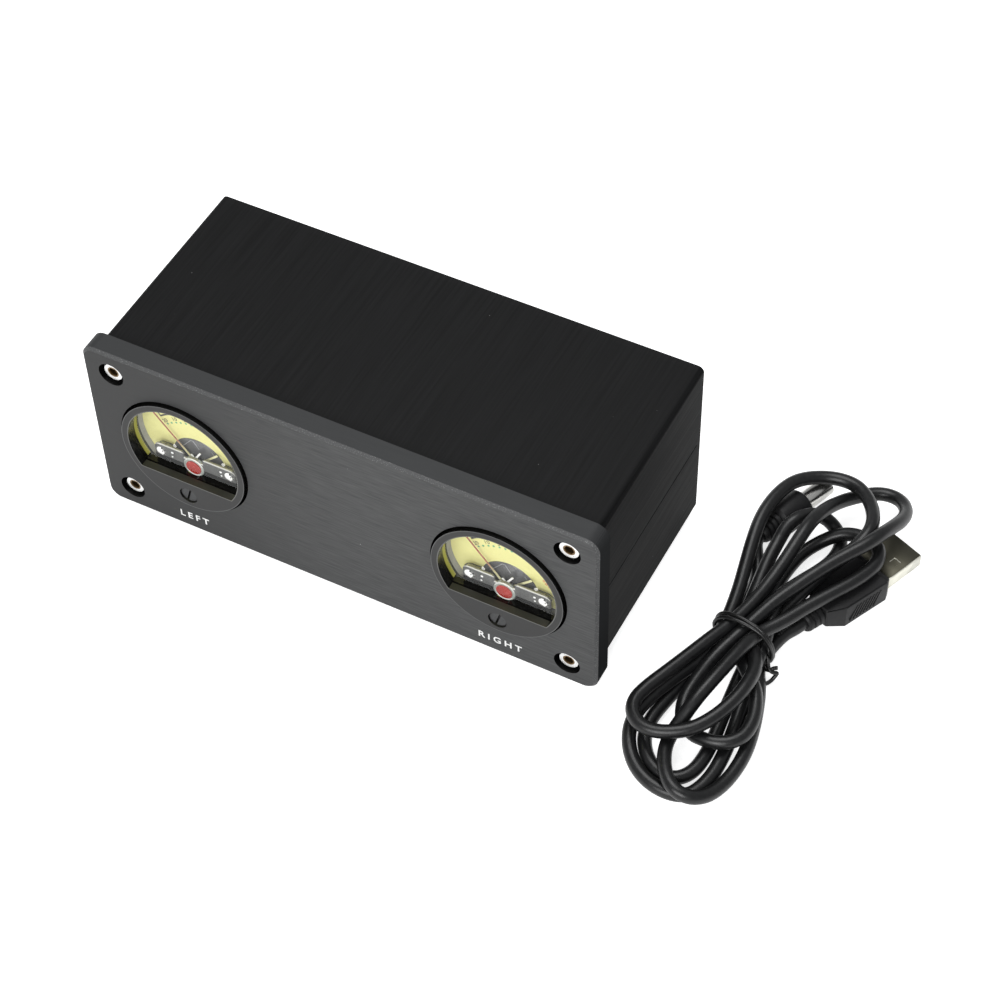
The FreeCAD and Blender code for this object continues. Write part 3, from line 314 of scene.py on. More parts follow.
# the lead's way, in millimetres: from the round plug, then each loop with the place across the
# tie and above the desk where it comes into it, and at last the free end to the flat plug
DC_END = [(92.8, 26.7, 4.75), (92.1, 24.2, 4.7), (94.9, 19.3, 4.2),
          (97.7, 14.0, 3.2), (98.4, 7.0, 2.8), (98.7, 2.0, 2.6)]
LOOPS = [
    ((-3.8, 2.6), [(96.0, -17.0, 2.2), (93.5, -26.0, 2.0), (92.0, -33.5, 1.9), (91.3, -39.5, 1.9),
                   (92.0, -45.0, 1.9), (94.5, -49.5, 1.9), (98.0, -52.8, 1.9), (102.0, -54.0, 1.9),
                   (105.4, -53.2, 1.9), (107.9, -50.0, 1.9), (108.9, -45.3, 1.9), (108.9, -39.0, 1.9),
                   (108.1, -31.0, 1.9), (107.6, -23.5, 2.0), (107.0, -16.0, 2.4)]),
    ((2.9, 2.2), [(106.9, 1.0, 2.8), (109.4, 8.0, 3.4), (112.2, 14.5, 5.0), (115.0, 20.0, 7.0),
                  (117.5, 24.8, 8.4), (119.4, 29.2, 9.8), (120.5, 33.5, 11.2), (119.8, 38.2, 11.0),
                  (117.6, 43.0, 10.0), (114.5, 47.0, 9.4), (110.5, 49.8, 9.0), (105.5, 50.2, 8.8),
                  (101.0, 48.6, 9.0), (97.0, 45.4, 9.8), (94.2, 41.0, 10.6), (92.6, 34.0, 11.0),
                  (92.2, 27.0, 10.6), (93.0, 20.0, 9.4), (94.4, 12.5, 8.0), (96.0, 4.0, 6.6)]),
    ((-5.7, 5.9), [(96.5, -19.0, 5.2), (92.8, -27.5, 4.8), (89.8, -35.0, 4.4), (88.2, -40.5, 3.8),
                   (88.3, -45.0, 3.2), (90.0, -49.5, 2.6), (93.0, -53.3, 2.0), (96.5, -56.0, 1.9),
                   (100.8, -57.8, 1.9), (105.4, -58.2, 1.9), (109.6, -56.9, 1.9), (111.6, -53.8, 1.9),
                   (112.9, -48.8, 1.9), (113.0, -42.5, 1.9), (112.4, -35.5, 1.9), (111.4, -28.0, 2.2),
                   (110.3, -20.0, 3.6)]),
    ((5.7, 5.9), [(108.2, 1.0, 6.4), (107.8, 7.0, 6.4), (108.9, 13.0, 4.2), (110.4, 19.5, 2.4),
                  (112.2, 24.5, 1.9), (113.6, 29.8, 1.9), (113.4, 34.6, 1.9), (111.6, 38.0, 2.4),
                  (108.4, 39.4, 4.8), (105.2, 38.0, 8.0), (102.9, 34.4, 10.8), (100.8, 30.8, 11.6),
                  (99.4, 27.7, 10.4), (98.9, 23.9, 8.4), (98.7, 18.0, 7.2), (99.3, 10.2, 6.2),
                  (100.2, 1.0, 5.6)]),
    ((-1.9, 5.9), [(105.0, -13.5, 6.0), (109.5, -17.5, 5.8), (113.2, -21.5, 5.6), (115.2, -26.0, 5.5),
                   (116.4, -31.0, 5.6), (116.2, -36.0, 5.8), (114.2, -39.4, 5.9), (111.2, -41.3, 5.9),
                   (107.4, -41.8, 5.6), (103.4, -41.0, 4.6), (99.8, -38.4, 3.4), (97.2, -34.8, 2.8),
                   (96.0, -30.0, 3.2), (96.6, -24.5, 4.6), (98.6, -17.5, 7.2)]),
    ((0.0, 9.2), [(106.6, 2.5, 9.6), (110.0, 9.0, 10.0), (112.7, 14.0, 10.6), (115.6, 19.0, 11.4),
                  (118.6, 23.2, 12.6), (121.5, 27.0, 13.8), (123.7, 31.5, 14.2), (125.1, 37.2, 12.4),
                  (126.2, 43.5, 9.6), (125.6, 49.0, 7.2), (122.8, 53.2, 5.6), (118.8, 54.6, 4.8),
                  (114.8, 53.4, 4.8), (110.9, 49.8, 5.0), (107.9, 44.5, 7.0), (106.2, 37.0, 10.8),
                  (105.2, 29.5, 13.4), (104.6, 22.5, 12.6), (103.8, 15.5, 10.8), (102.8, 8.0, 9.6),
                  (101.4, 0.0, 9.2)]),
    ((-3.8, 9.2), [(96.6, -14.5, 8.9), (93.8, -22.0, 8.6), (90.8, -29.5, 8.3), (88.2, -35.5, 7.9),
                   (86.9, -40.4, 7.6), (88.3, -44.4, 7.5), (91.6, -46.9, 7.6), (95.8, -47.2, 7.8),
                   (100.2, -45.6, 8.2), (104.4, -42.7, 8.6), (107.9, -37.5, 9.2), (110.3, -31.0, 9.6),
                   (111.2, -24.5, 9.6), (110.6, -17.5, 8.6)]),
    ((1.9, 5.9), [(104.3, 4.0, 5.4), (103.6, 12.0, 4.0), (103.6, 20.0, 2.8), (104.8, 27.5, 2.4),
                  (108.0, 32.3, 3.6), (111.8, 35.2, 5.6), (116.0, 36.0, 7.0), (120.2, 35.0, 8.0),
                  (124.0, 32.8, 9.2), (125.8, 28.0, 10.0), (124.6, 22.8, 10.0), (121.8, 17.0, 10.0),
                  (118.2, 11.5, 9.6), (114.4, 5.6, 9.0), (111.0, -0.8, 8.6)]),
    ((3.8, 9.2), [(105.9, -14.0, 10.0), (104.6, -21.0, 10.4), (103.2, -28.0, 10.6), (101.6, -34.5, 9.6),
                  (99.9, -40.5, 6.2), (98.9, -45.5, 4.4), (100.3, -51.0, 5.0), (103.0, -56.0, 5.6),
                  (106.6, -59.2, 5.7), (110.4, -59.2, 4.8), (113.4, -56.6, 3.4), (115.4, -52.0, 2.4),
                  (116.5, -46.0, 1.9), (116.5, -39.0, 1.9), (115.0, -32.0, 1.9), (112.7, -25.0, 1.9),
                  (110.7, -18.5, 1.9)]),
]
USB_END = [(109.2, -12.5, 1.9), (109.6, -6.3, 2.2), (111.3, -0.3, 3.2), (113.6, 2.6, 3.8),
           (114.6, 5.0, 4.0)]
# how many of the first points lie in the round plug's reach and stay put
DC_HELD = 3


def lead_route():
    """The lead's points, in millimetres, and which of them stay put."""
    route = list(DC_END)
    held = [True] * DC_HELD + [False] * (len(DC_END) - DC_HELD)
    for (across, height), loop in LOOPS:
        route += [(WAIST[0] + across, WAIST[1], height)] + loop
        held += [True] + [False] * len(loop)
    return numpy.array(route + USB_END), numpy.array(held + [True] * len(USB_END))


def spline_weights(count, steps):
    """The weights of the control points at places along an end-clamped quadratic spline."""
    knots = numpy.concatenate(([0, 0], numpy.arange(count - 1), [count - 2, count - 2])).astype(float)
    weights = numpy.zeros(((count - 2) * steps + 1, count))
    for row in range(len(weights)):
        span = min(row // steps, count - 3)
        place = row / steps
        low, middle, top, high = knots[span + 1:span + 5]
        first = (top - place) / (top - low)
        last = (place - middle) / (high - middle)
        weights[row, span] = first * (top - place)
        weights[row, span + 2] = last * (place - middle)
        weights[row, span + 1] = 1 - weights[row, span] - weights[row, span + 2]
    return weights


# each plug's rear end, its heading in degrees from the Y axis towards X, and its height
DC_AT = ((92.8, 26.7), 20.6, 4.75)
USB_AT = ((114.6, 5.0), 22.0, 4.0)
# room that the plugs take: half width, from, to, top, and whether the top is round
PLUG_MARGIN = 1
PLUGS = [
    (DC_AT, 4.75, 0.0, 16.0, 9.5, True),
    (USB_AT, 3.2, -1.0, 5.2, 7.2, False),
    (USB_AT, 5.0, 5.2, 9.4, 8.0, False),
    (USB_AT, 7.2, 9.4, 25.5, 8.0, False),
    (USB_AT, 6.0, 25.5, 38.0, 6.25, False),
]


def plug_lift(places, plug, half_wide, start, end, top, round_top):
    """How far the lead's places must rise to lie on a stretch of a plug."""
    rear, heading, _ = plug
    turn = math.radians(heading)
    dx, dy = places[:, 0] - rear[0], places[:, 1] - rear[1]
    ahead = dx * math.sin(turn) + dy * math.cos(turn)
    aside = abs(dx * math.cos(turn) - dy * math.sin(turn))
    reach = half_wide + CORD_RADIUS
    over = (ahead > start - PLUG_MARGIN) & (ahead < end + PLUG_MARGIN) & (aside < reach)
    if round_top:
        rest = top / 2 + numpy.sqrt(numpy.maximum(reach ** 2 - aside ** 2, 0))
    else:
        edge = numpy.clip((aside - half_wide) / CORD_RADIUS, 0, 1)
        rest = top + CORD_RADIUS * numpy.sqrt(1 - edge ** 2)
    return numpy.where(over & (places[:, 2] > 0.5 * top), numpy.maximum(rest - places[:, 2], 0), 0)


# how the strands are settled: places for each point, rounds, the gap between strands' middles, how
# much of an overlap a push takes up, how far a point goes with its push, how much of a sideways
# shift is kept, and how far a point is drawn between its neighbours
SETTLE_STEPS = 4
SETTLE_ROUNDS = 120
STRAND_GAP = 2 * CORD_RADIUS + 0.1
PUSH_SHARE = 0.5
PUSH_GAIN = 1.8
SHIFT_KEPT = 0.985
SMOOTHING = 0.12


def settle(route, held):
    """Press the lead's strands apart until each lies beside or on the others, the desk and the plugs."""
    weights = spline_weights(len(route), SETTLE_STEPS)
    share = weights.sum(axis=0)
    order = numpy.arange(len(weights))
    apart = abs(order[:, None] - order[None, :]) > 3 * SETTLE_STEPS
    shift = numpy.zeros_like(route)
    for _ in range(SETTLE_ROUNDS):
        places = weights @ (route + shift)
        offset = places[:, None, :] - places[None, :, :]
        distance = numpy.sqrt((offset ** 2).sum(axis=2)) + 1e-6
        close = (distance < STRAND_GAP) & apart
        force = numpy.where(close, (STRAND_GAP - distance) / distance, 0)[:, :, None] * offset
        push = PUSH_SHARE * force.sum(axis=1) / numpy.maximum(close.sum(axis=1), 1)[:, None]
        for plug in PLUGS:
            push[:, 2] += PUSH_SHARE * plug_lift(places, *plug)
        push[:, 2] += numpy.maximum(CORD_RADIUS - places[:, 2], 0)
        shift += numpy.where(held[:, None], 0, weights.T @ push / share[:, None] * PUSH_GAIN)
        shift[:, :2] *= SHIFT_KEPT
        bend = shift[:-2] + shift[2:] - 2 * shift[1:-1]
        shift[1:-1] += numpy.where(held[1:-1, None], 0, SMOOTHING * bend)
    return route + shift


def round_wire(name, places, radius, finish, sides, steps, closed=False):
    """A round wire along the smooth line that some places, in metres, steer."""
    curve = bpy.data.curves.new(name, "CURVE")
    curve.dimensions = "3D"
    curve.bevel_depth = radius * MM
    curve.bevel_resolution = sides
    curve.resolution_u = steps
    curve.use_fill_caps = True
    curve.materials.append(finish.material)
    spline = curve.splines.new("NURBS")
    spline.points.add(len(places) - 1)
    for point, at in zip(spline.points, places):
        point.co = (*at, 1)
    spline.order_u = 3
    spline.use_cyclic_u = closed
    spline.use_endpoint_u = not closed
    wire = bpy.data.objects.new(name, curve)
    bpy.context.collection.objects.link(wire)
    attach(wire, "root")
    return wire


def lay_lead():
    route = settle(*lead_route()) * MM
    lead = round_wire("supply_lead", route, CORD_RADIUS, CORD_JACKET, sides=5, steps=8)
    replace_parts(lead, "lead_hank", "lead_tail")


# ---------------------------------------------------------------- shapes

def new_piece(name, shape, finishes, crease=35):
    """A finished mesh at the origin, with its place in its mesh."""
    mesh = bpy.data.meshes.new(name)
    shape.to_mesh(mesh)
    shape.free()
    mesh.polygons.foreach_set("use_smooth", [True] * len(mesh.polygons))
    mesh.set_sharp_from_angle(angle=math.radians(crease))
    for finish in finishes:
        mesh.materials.append(finish.material)
    piece = bpy.data.objects.new(name, mesh)
    bpy.context.collection.objects.link(piece)
    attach(piece, "root")
    return piece


def place(shape, matrix):
    bmesh.ops.transform(shape, matrix=matrix, verts=shape.verts)


def verts_of(made):
    return [item for item in made if isinstance(item, bmesh.types.BMVert)]


def cut_plane(shape, at, normal, clear_inner=False):
    """Cut a shape along a plane through a point in metres."""
    bmesh.ops.bisect_plane(shape, geom=shape.verts[:] + shape.edges[:] + shape.faces[:], plane_co=at,
                           plane_no=normal, clear_inner=clear_inner)


def turned_form(shape, profile, steps=48):
    """Spin a profile of (radius, along) points, in millimetres, round the Y axis."""
    verts = [shape.verts.new((radius * MM, along * MM, 0)) for radius, along in profile]
    edges = [shape.edges.new(pair) for pair in zip(verts, verts[1:])]
    bmesh.ops.spin(shape, geom=verts + edges, cent=(0, 0, 0), axis=(0, 1, 0),
                   angle=2 * math.pi, steps=steps, use_merge=True)
    bmesh.ops.remove_doubles(shape, verts=shape.verts, dist=1e-6)
    bmesh.ops.recalc_face_normals(shape, faces=shape.faces)


def lofted_block(shape, sections):
    """A block run along Y through sections of (along, half width, half height), in millimetres."""
    first = sections[0]
    face = bmesh.ops.create_grid(shape, x_segments=1, y_segments=1, size=1,
                                 matrix=Matrix.Rotation(math.radians(90), 4, "X"))["verts"]
    for vert in face:
        vert.co = (vert.co.x * first[1] * MM, first[0] * MM, vert.co.z * first[2] * MM)
    faces = [f for f in shape.faces if all(v in face for v in f.verts)]
    last = first
    for along, wide, tall in sections[1:]:
        made = bmesh.ops.extrude_face_region(shape, geom=faces)["geom"]
        for vert in verts_of(made):
            vert.co = (vert.co.x * wide / last[1], along * MM, vert.co.z * tall / last[2])
        faces = [g for g in made if isinstance(g, bmesh.types.BMFace)]
        last = (along, wide, tall)
    bmesh.ops.recalc_face_normals(shape, faces=shape.faces)


def round_edges(shape, width, segments=2, angle=30):
    """Round the edges that are sharper than an angle."""
    sharp = [e for e in shape.edges
             if len(e.link_faces) == 2 and e.calc_face_angle(0) > math.radians(angle)]
    bmesh.ops.bevel(shape, geom=sharp, offset=width * MM, segments=segments, profile=0.5,
                    affect="EDGES", material=-1, clamp_overlap=True)


def add_block(shape, size, middle):
    """A plain block inside a larger form, in millimetres."""
    bmesh.ops.create_cube(shape, size=1.0, matrix=(Matrix.Translation(Vector(middle) * MM)
                          @ Matrix.Diagonal((*(Vector(size) * MM), 1))))


def join_shape(shape, part, matrix):
    """Add a part to a shape at a place."""
    place(part, matrix)
    mesh = bpy.data.meshes.new("part")
    part.to_mesh(mesh)
    part.free()
    shape.from_mesh(mesh)
    bpy.data.meshes.remove(mesh)


def plug_place(rear, heading, height):
    return (Matrix.Translation(Vector((rear[0], rear[1], height)) * MM)
            @ Matrix.Rotation(-math.radians(heading), 4, "Z"))


# ---------------------------------------------------------------- plugs and tie

# the flat plug's mould, from its neck to its mouth: along, half width and half height
MOULD_SECTIONS = [(4.9, 3.2, 3.0), (5.4, 3.6, 3.3), (9.4, 6.3, 3.95), (23.7, 7.25, 3.95),
                  (25.5, 6.25, 3.3)]
RIB_COUNT = 8
RIB_START = 12.2
RIB_STEP = 1.15
RIB_SIZE = (0.8, 0.55, 5.4)
RIB_LEAN = -28
# the bright shell: width, length and height, its middle, and its wall
SHELL_SIZE = (11.9, 12.9, 4.4)
SHELL_MIDDLE = 31.55
SHELL_WALL = 0.32
# the shell's two windows on each face: from and to, across and along
WINDOW_ACROSS = (1.7, 4.0)
WINDOW_ALONG = (30.1, 32.2)


def ringed_relief(shape, rings, step, radius, swell, tail):
    """A strain relief of shallow rings that widen towards the plug, closed by its tail points."""
    profile = [(0, -0.4), (radius - 0.35, -0.4), (radius - 0.1, 0)]
    for ring in range(rings):
        near = step * ring
        wide = radius + swell * ring
        profile += [(wide, near + 0.1 * step), (wide + 0.5 * swell, near + 0.62 * step),
                    (wide - 0.4, near + 0.72 * step), (wide - 0.35, near + 0.95 * step)]
    turned_form(shape, profile + tail, 40)


def flat_mould():
    """The flat plug's mould, with its ringed relief and leaning ribs on its sides."""
    shape = bmesh.new()
    lofted_block(shape, MOULD_SECTIONS)
    round_edges(shape, 0.45, segments=3, angle=12)
    relief = bmesh.new()
    ringed_relief(relief, rings=3, step=1.7, radius=3.0, swell=0.15, tail=[(3.2, 5.3), (0, 5.4)])
    join_shape(shape, relief, Matrix())
    (start, narrow, _), (end, wide, _) = MOULD_SECTIONS[2:4]
    widening = (wide - narrow) / (end - start)
    for side in (-1, 1):
        for number in range(RIB_COUNT):
            along = RIB_START + RIB_STEP * number
            across = side * (narrow + widening * (along - start) - 0.12)
            rib = bmesh.new()
            add_block(rib, RIB_SIZE, (0, 0, 0))
            round_edges(rib, 0.12, segments=1)
            join_shape(shape, rib, Matrix.Translation(Vector((across, along, 0)) * MM)
                       @ Matrix.Rotation(math.radians(RIB_LEAN), 4, "X"))
    place(shape, plug_place(*USB_AT))
    grip = new_piece("flat_plug_mould", shape, [PLUG_MOULD], crease=22)
    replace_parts(grip, "usb_plug_grip")
    return grip


def flat_shell():
    """The flat plug's bright shell, open at its ends, with two sunk windows on each face."""
    shape = bmesh.new()
    add_block(shape, SHELL_SIZE, (0, SHELL_MIDDLE, 0))
    ends = [f for f in shape.faces if abs(f.normal.y) > 0.9]
    bmesh.ops.delete(shape, geom=ends, context="FACES_ONLY")
    round_edges(shape, 0.5, segments=3, angle=60)
    near, far = WINDOW_ACROSS
    start, end = WINDOW_ALONG
    for across in (-far, -near, near, far):
        cut_plane(shape, (across * MM, 0, 0), (1, 0, 0))
    for along in WINDOW_ALONG:
        cut_plane(shape, (0, along * MM, 0), (0, 1, 0))
    windows = []
    for face in shape.faces:
        middle = face.calc_center_median() / MM
        if near < abs(middle.x) < far and start < middle.y < end and abs(middle.z) > 2.1:
            windows.append(face)
    outlines = bmesh.ops.inset_individual(shape, faces=windows, thickness=0.16 * MM, depth=0)["faces"]
    # the windows' outlines take the pale plated finish, as painted highlights
    for face in outlines:
        face.material_index = 1
    for face in windows:
        step = -0.22 * MM if face.calc_center_median().z > 0 else 0.22 * MM
        bmesh.ops.translate(shape, verts=face.verts, vec=(0, 0, step))
    place(shape, plug_place(*USB_AT))
    shell = new_piece("flat_plug_shell", shape, [shell_finish(), SHELL_RIM_HIGHLIGHT], crease=20)
    wall = shell.modifiers.new("wall", "SOLIDIFY")
    wall.thickness = SHELL_WALL * MM
    wall.offset = -1
    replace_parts(shell, "usb_plug_shell")
    return shell


def round_plug():
    """The round plug's mould, with its ringed relief."""
    shape = bmesh.new()
    ringed_relief(shape, rings=4, step=1.5, radius=2.7, swell=0.35,
                  tail=[(4.1, 6.3), (4.6, 6.9), (4.72, 7.8), (4.72, 14.9), (4.55, 15.6), (4.1, 16.0),
                        (2.6, 16.05), (0, 16.05)])
    place(shape, plug_place(*DC_AT))
    grip = new_piece("round_plug_mould", shape, [PLUG_MOULD], crease=30)
    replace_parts(grip, "dc_plug_grip")
    return grip


TIE_WIRE = 0.55
# the band's shape from its front: across the waist and above the desk
TIE_BAND = [(-6.3, 11.0), (-3.0, 12.4), (1.0, 12.6), (5.0, 11.9), (7.7, 9.2), (8.9, 6.0), (8.9, 2.6),
            (6.6, 0.56), (1.0, 0.55), (-4.0, 0.55), (-6.8, 2.4), (-8.6, 5.6), (-8.2, 8.6)]
# how far each turn of the band is moved along, and how it slants
TIE_TURNS = ((-1.1, 0.10), (0.1, 0.16))
# the twisted ends: across and along from the waist's middle, and above the desk
TIE_ENDS = {
    "tie_end_long": [(7.4, -2.2, 5.0), (8.4, -3.4, 4.7), (8.9, -4.6, 4.4), (9.7, -5.7, 3.8),
                     (11.0, -5.6, 3.2), (11.9, -4.8, 2.8), (11.4, -5.6, 1.8), (10.9, -6.9, 1.0),
                     (9.8, -8.2, 0.6), (8.4, -9.3, 0.6)],
    "tie_end_short": [(7.0, -3.6, 3.4), (8.6, -5.4, 3.0), (9.8, -5.3, 3.2), (10.6, -4.5, 3.8),
                      (11.5, -4.3, 4.1)],
}


def tie_wire(name, points, closed=False):
    """A length of the tie's wire along points in millimetres."""
    places = [Vector(point) * MM for point in points]
    wire = round_wire(name, places, TIE_WIRE, TIE_BLACK, sides=3, steps=6, closed=closed)
    return wire


def tie():
    """Two turns of wire round the hank's waist, and the twisted ends that lie beside it."""
    turns = []
    for number, (shift, slant) in enumerate(TIE_TURNS, 1):
        ring = [(WAIST[0] + x, WAIST[1] + shift - slant * x, z) for x, z in TIE_BAND]
        turns.append(tie_wire("tie_turn_%d" % number, ring, closed=True))
    for name, points in TIE_ENDS.items():
        tie_wire(name, [(WAIST[0] + x, WAIST[1] + y, z) for x, y, z in points])
    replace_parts(turns[0], "twist_tie")


# ---------------------------------------------------------------- meters

# the right meter's middle and its dial's front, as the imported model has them; the left one mirrors it
METER_X = 46.86
METER_Z = 30.6
SEAT_Y = -31.15
# from the middle down to the pivot and to the zero screw
PIVOT_DROP = 8.0
ZERO_DROP = 14.75
# degrees: the pointer's rest, to the left of straight up, and the zero slot's lean
REST_ANGLE = 38.5
SLOT_LEAN = 17.0
PRINT_THICK = 0.03
PRINT_DEPTH = -0.02


def meter_place(side):
    sign = -1 if side == "left" else 1
    return Matrix.Translation(Vector((sign * METER_X, SEAT_Y, METER_Z)) * MM)


def flat_mark(shape, points, depth=PRINT_DEPTH, thick=PRINT_THICK):
    """A thin printed mark in a meter's plane, from (across, up) points in millimetres."""
    face = shape.faces.new([shape.verts.new((u * MM, depth * MM, w * MM)) for u, w in points])
    made = bmesh.ops.extrude_face_region(shape, geom=[face])["geom"]
    for vert in verts_of(made):
        vert.co.y -= thick * MM


def polar(radius, degrees):
    """A place on the dial, from the pivot: to the right of straight up by some degrees."""
    turn = math.radians(degrees)
    return radius * math.sin(turn), radius * math.cos(turn) - PIVOT_DROP


def ring_mark(shape, inner, outer, start, end, steps):
    """A printed arc round the pivot."""
    angles = [start + (end - start) * step / steps for step in range(steps + 1)]
    flat_mark(shape, [polar(inner, a) for a in angles] + [polar(outer, a) for a in reversed(angles)])


def dot_mark(shape, radius, degrees):
    """A printed dot."""
    u, w = polar(radius, degrees)
    turns = [math.radians(36 * corner) for corner in range(10)]
    flat_mark(shape, [(u + DOT_RADIUS * math.cos(turn), w + DOT_RADIUS * math.sin(turn))
                      for turn in turns])


def strip_mark(shape, start, end, wide, depth=PRINT_DEPTH):
    """A straight printed or moulded line between two (across, up) points."""
    along = Vector((end[0] - start[0], end[1] - start[1])).normalized()
    side = Vector((-along.y, along.x)) * wide / 2
    flat_mark(shape, [Vector(start) + side, Vector(start) - side, Vector(end) - side, Vector(end) + side],
              depth)


def meter_piece(name, side, shape, finishes, crease=35):
    """A finished piece of one meter, drawn in the meter's own frame."""
    bmesh.ops.recalc_face_normals(shape, faces=shape.faces)
    place(shape, meter_place(side))
    return new_piece(side + "_" + name, shape, finishes, crease=crease)


# degrees from straight up: the scale's strokes, the red dots, and the figures
SCALE_STOPS = (-40, -33, -25.6, -19, -11.6, -4.6, 3, 10)
OVER_STOPS = (17, 23, 29.5, 36)
FIGURES = {-40: "20", -25.6: "10", -11.6: "5", 3: "0", 17: "1", 29.5: "3"}
# the three letters at the red scale's end: radius and degrees
UNIT_LETTERS = {"d": (12.0, 55.0), "B": (12.1, 60.5), "+": (12.3, 66.0)}
UNIT_LEAN = 28
UNIT_TALL = 1.1
FIGURE_TALL = 1.25
# the black and red arcs: inner and outer radius, and from and to in degrees
BLACK_ARC = (16.45, 16.95, -41, 12)
RED_ARC = (16.3, 17.1, 12.1, 38)
# radii of the strokes' ends, of the rows of dots and of the figures; half a stroke is in degrees
STROKE = (16.96, 18.1)
STROKE_HALF = 0.6
GREEN_ROW = 13.75
RED_ROW = 13.8
FIGURE_ROW = 14.9
DOT_RADIUS = 0.33
# the dark line above the light bar, painted shade on the dial: from the dial screw outwards, across and
# up
BAR_SHADE_LINE = [(7.9, -5.65), (11.4, -5.75), (12.3, -6.3), (13.2, -7.4)]
BAR_LINE_WIDE = 0.24
# the pale rim round the dial's edge: radius and depth
RIM_PROFILE = [(17.55, -1.5), (17.05, -0.05), (17.55, -0.05), (17.55, -1.5)]


def letter_mark(shape, words, tall, radius, degrees, lean):
    """Printed letters on the dial, leaning to the right by some degrees."""
    u, w = polar(radius, degrees)
    join_shape(shape, text_shape(words, tall, PRINT_THICK),
               Matrix.Translation(Vector((u, PRINT_DEPTH, w)) * MM)
               @ Matrix.Rotation(math.radians(lean), 4, "Y"))


def dial_print(side):
    """The dial's scale: an arc with strokes, figures, and a row of dots below them, and its rim."""
    shape = bmesh.new()
    ring_mark(shape, *BLACK_ARC, steps=30)
    low, high = STROKE
    for angle in SCALE_STOPS:
        start, end = angle - STROKE_HALF, angle + STROKE_HALF
        flat_mark(shape, [polar(low, start), polar(high, start), polar(high, end), polar(low, end)])
    meter_piece("scale_black", side, shape, [INK_BLACK])
    shape = bmesh.new()
    ring_mark(shape, *RED_ARC, steps=16)
    for angle in OVER_STOPS:
        dot_mark(shape, RED_ROW, angle)
    for letter, (radius, angle) in UNIT_LETTERS.items():
        letter_mark(shape, letter, UNIT_TALL, radius, angle, UNIT_LEAN)
    meter_piece("scale_red", side, shape, [INK_RED])
    shape = bmesh.new()
    for angle in SCALE_STOPS:
        dot_mark(shape, GREEN_ROW, angle)
    meter_piece("scale_green", side, shape, [INK_GREEN])
    shape = bmesh.new()
    for angle, figure in FIGURES.items():
        letter_mark(shape, figure, FIGURE_TALL, FIGURE_ROW, angle, angle)
    # the painted shade line above the light bar, in black ink
    for sign in (-1, 1):
        for start, end in zip(BAR_SHADE_LINE, BAR_SHADE_LINE[1:]):
            strip_mark(shape, (sign * start[0], start[1]), (sign * end[0], end[1]), BAR_LINE_WIDE)
    meter_piece("scale_figures_and_shade_line", side, shape, [INK_BLACK])
    shape = bmesh.new()
    turned_form(shape, RIM_PROFILE, 96)
    meter_piece("dial_rim", side, shape, [RIM_PALE], crease=50)


def text_shape(words, tall, thick, bold=0.0, spacing=1.0):
    """Upright letters, centred on the origin, facing -Y; tall and thick in millimetres."""
    curve = bpy.data.curves.new("letters", "FONT")
    curve.body = words
    curve.size = tall * MM / 0.70
    curve.extrude = thick * MM / 2
    curve.offset = bold * MM
    curve.space_character = spacing
    curve.align_x = "CENTER"
    curve.align_y = "CENTER"
    curve.resolution_u = 3
    letters = bpy.data.objects.new("letters", curve)
    bpy.context.collection.objects.link(letters)
    bpy.context.view_layer.update()
    mesh = bpy.data.meshes.new_from_object(letters)
    shape = bmesh.new()
    shape.from_mesh(mesh)
    place(shape, Matrix.Rotation(math.radians(90), 4, "X"))
    bpy.data.objects.remove(letters)
    bpy.data.curves.remove(curve)
    bpy.data.meshes.remove(mesh)
    return shape


# the words on the front plate: their depth and height
WORDS_AT = (-37.56, 5.6)


def panel_words():
    """The side's name below each meter."""
    for side, sign in (("left", -1), ("right", 1)):
        shape = text_shape(side.upper(), 2.3, 0.04, bold=0.07, spacing=1.5)
        place(shape, Matrix.Translation(Vector((sign * METER_X, *WORDS_AT)) * MM))
        new_piece(side + "_panel_words", shape, [INK_WHITE])


# the movement's cover: radius and depth, and how far below the meter's middle it ends
COVER_PROFILE = [(1.35, -0.02), (1.35, -0.24), (7.9, -0.24), (8.15, -0.16), (8.25, -0.02), (1.35, -0.02)]
COVER_END = -10.6
# its ridges, drawn as light grey strips that are painted highlights: start and end, across and up, and
# width
COVER_RIDGES = [((-5.6, -5.0), (-2.0, -0.6), 0.18), ((-2.0, -0.6), (-1.2, -0.5), 0.2),
                ((-1.2, -0.5), (0.4, -3.1), 0.34), ((5.2, -3.4), (4.4, -2.2), 0.2)]
RIDGE_DEPTH = -0.23


def hill_cover(side):
    """The dark moulded cover of the movement, on the dial behind the pointer, and painted highlights on
    its ridges.
    """
    shape = bmesh.new()
    turned_form(shape, COVER_PROFILE, 64)
    place(shape, Matrix.Translation(Vector((0, 0, -PIVOT_DROP)) * MM))
    cut_plane(shape, (0, 0, COVER_END * MM), (0, 0, 1), clear_inner=True)
    bmesh.ops.edgeloop_fill(shape, edges=[e for e in shape.edges if e.is_boundary])
    meter_piece("movement_cover", side, shape, [COVER_GREY], crease=50)
    shape = bmesh.new()
    for start, end, wide in COVER_RIDGES:
        strip_mark(shape, start, end, wide, RIDGE_DEPTH)
    meter_piece("cover_ridges", side, shape, [RIDGE_HIGHLIGHT])


# the light bar, in the meter's own frame: depths, ends, lower and upper edge, and its corners' radius
BAR_FRONT = -3.1
BAR_REAR = -2.25
BAR_LEFT = -12.2
BAR_RIGHT = 13.2
BAR_LOW = -9.1
BAR_HIGH = -3.2
BAR_ROUND = 1.9
# its middle notch, its feet, and the drop of the ring round the cap
NOTCH_HALF = 2.9
NOTCH_LOW = -5.1
NOTCH_SLOPE = 0.5
FOOT_ACROSS = 9
FOOT_UP = -9.3
BOSS_DROP = 7.5


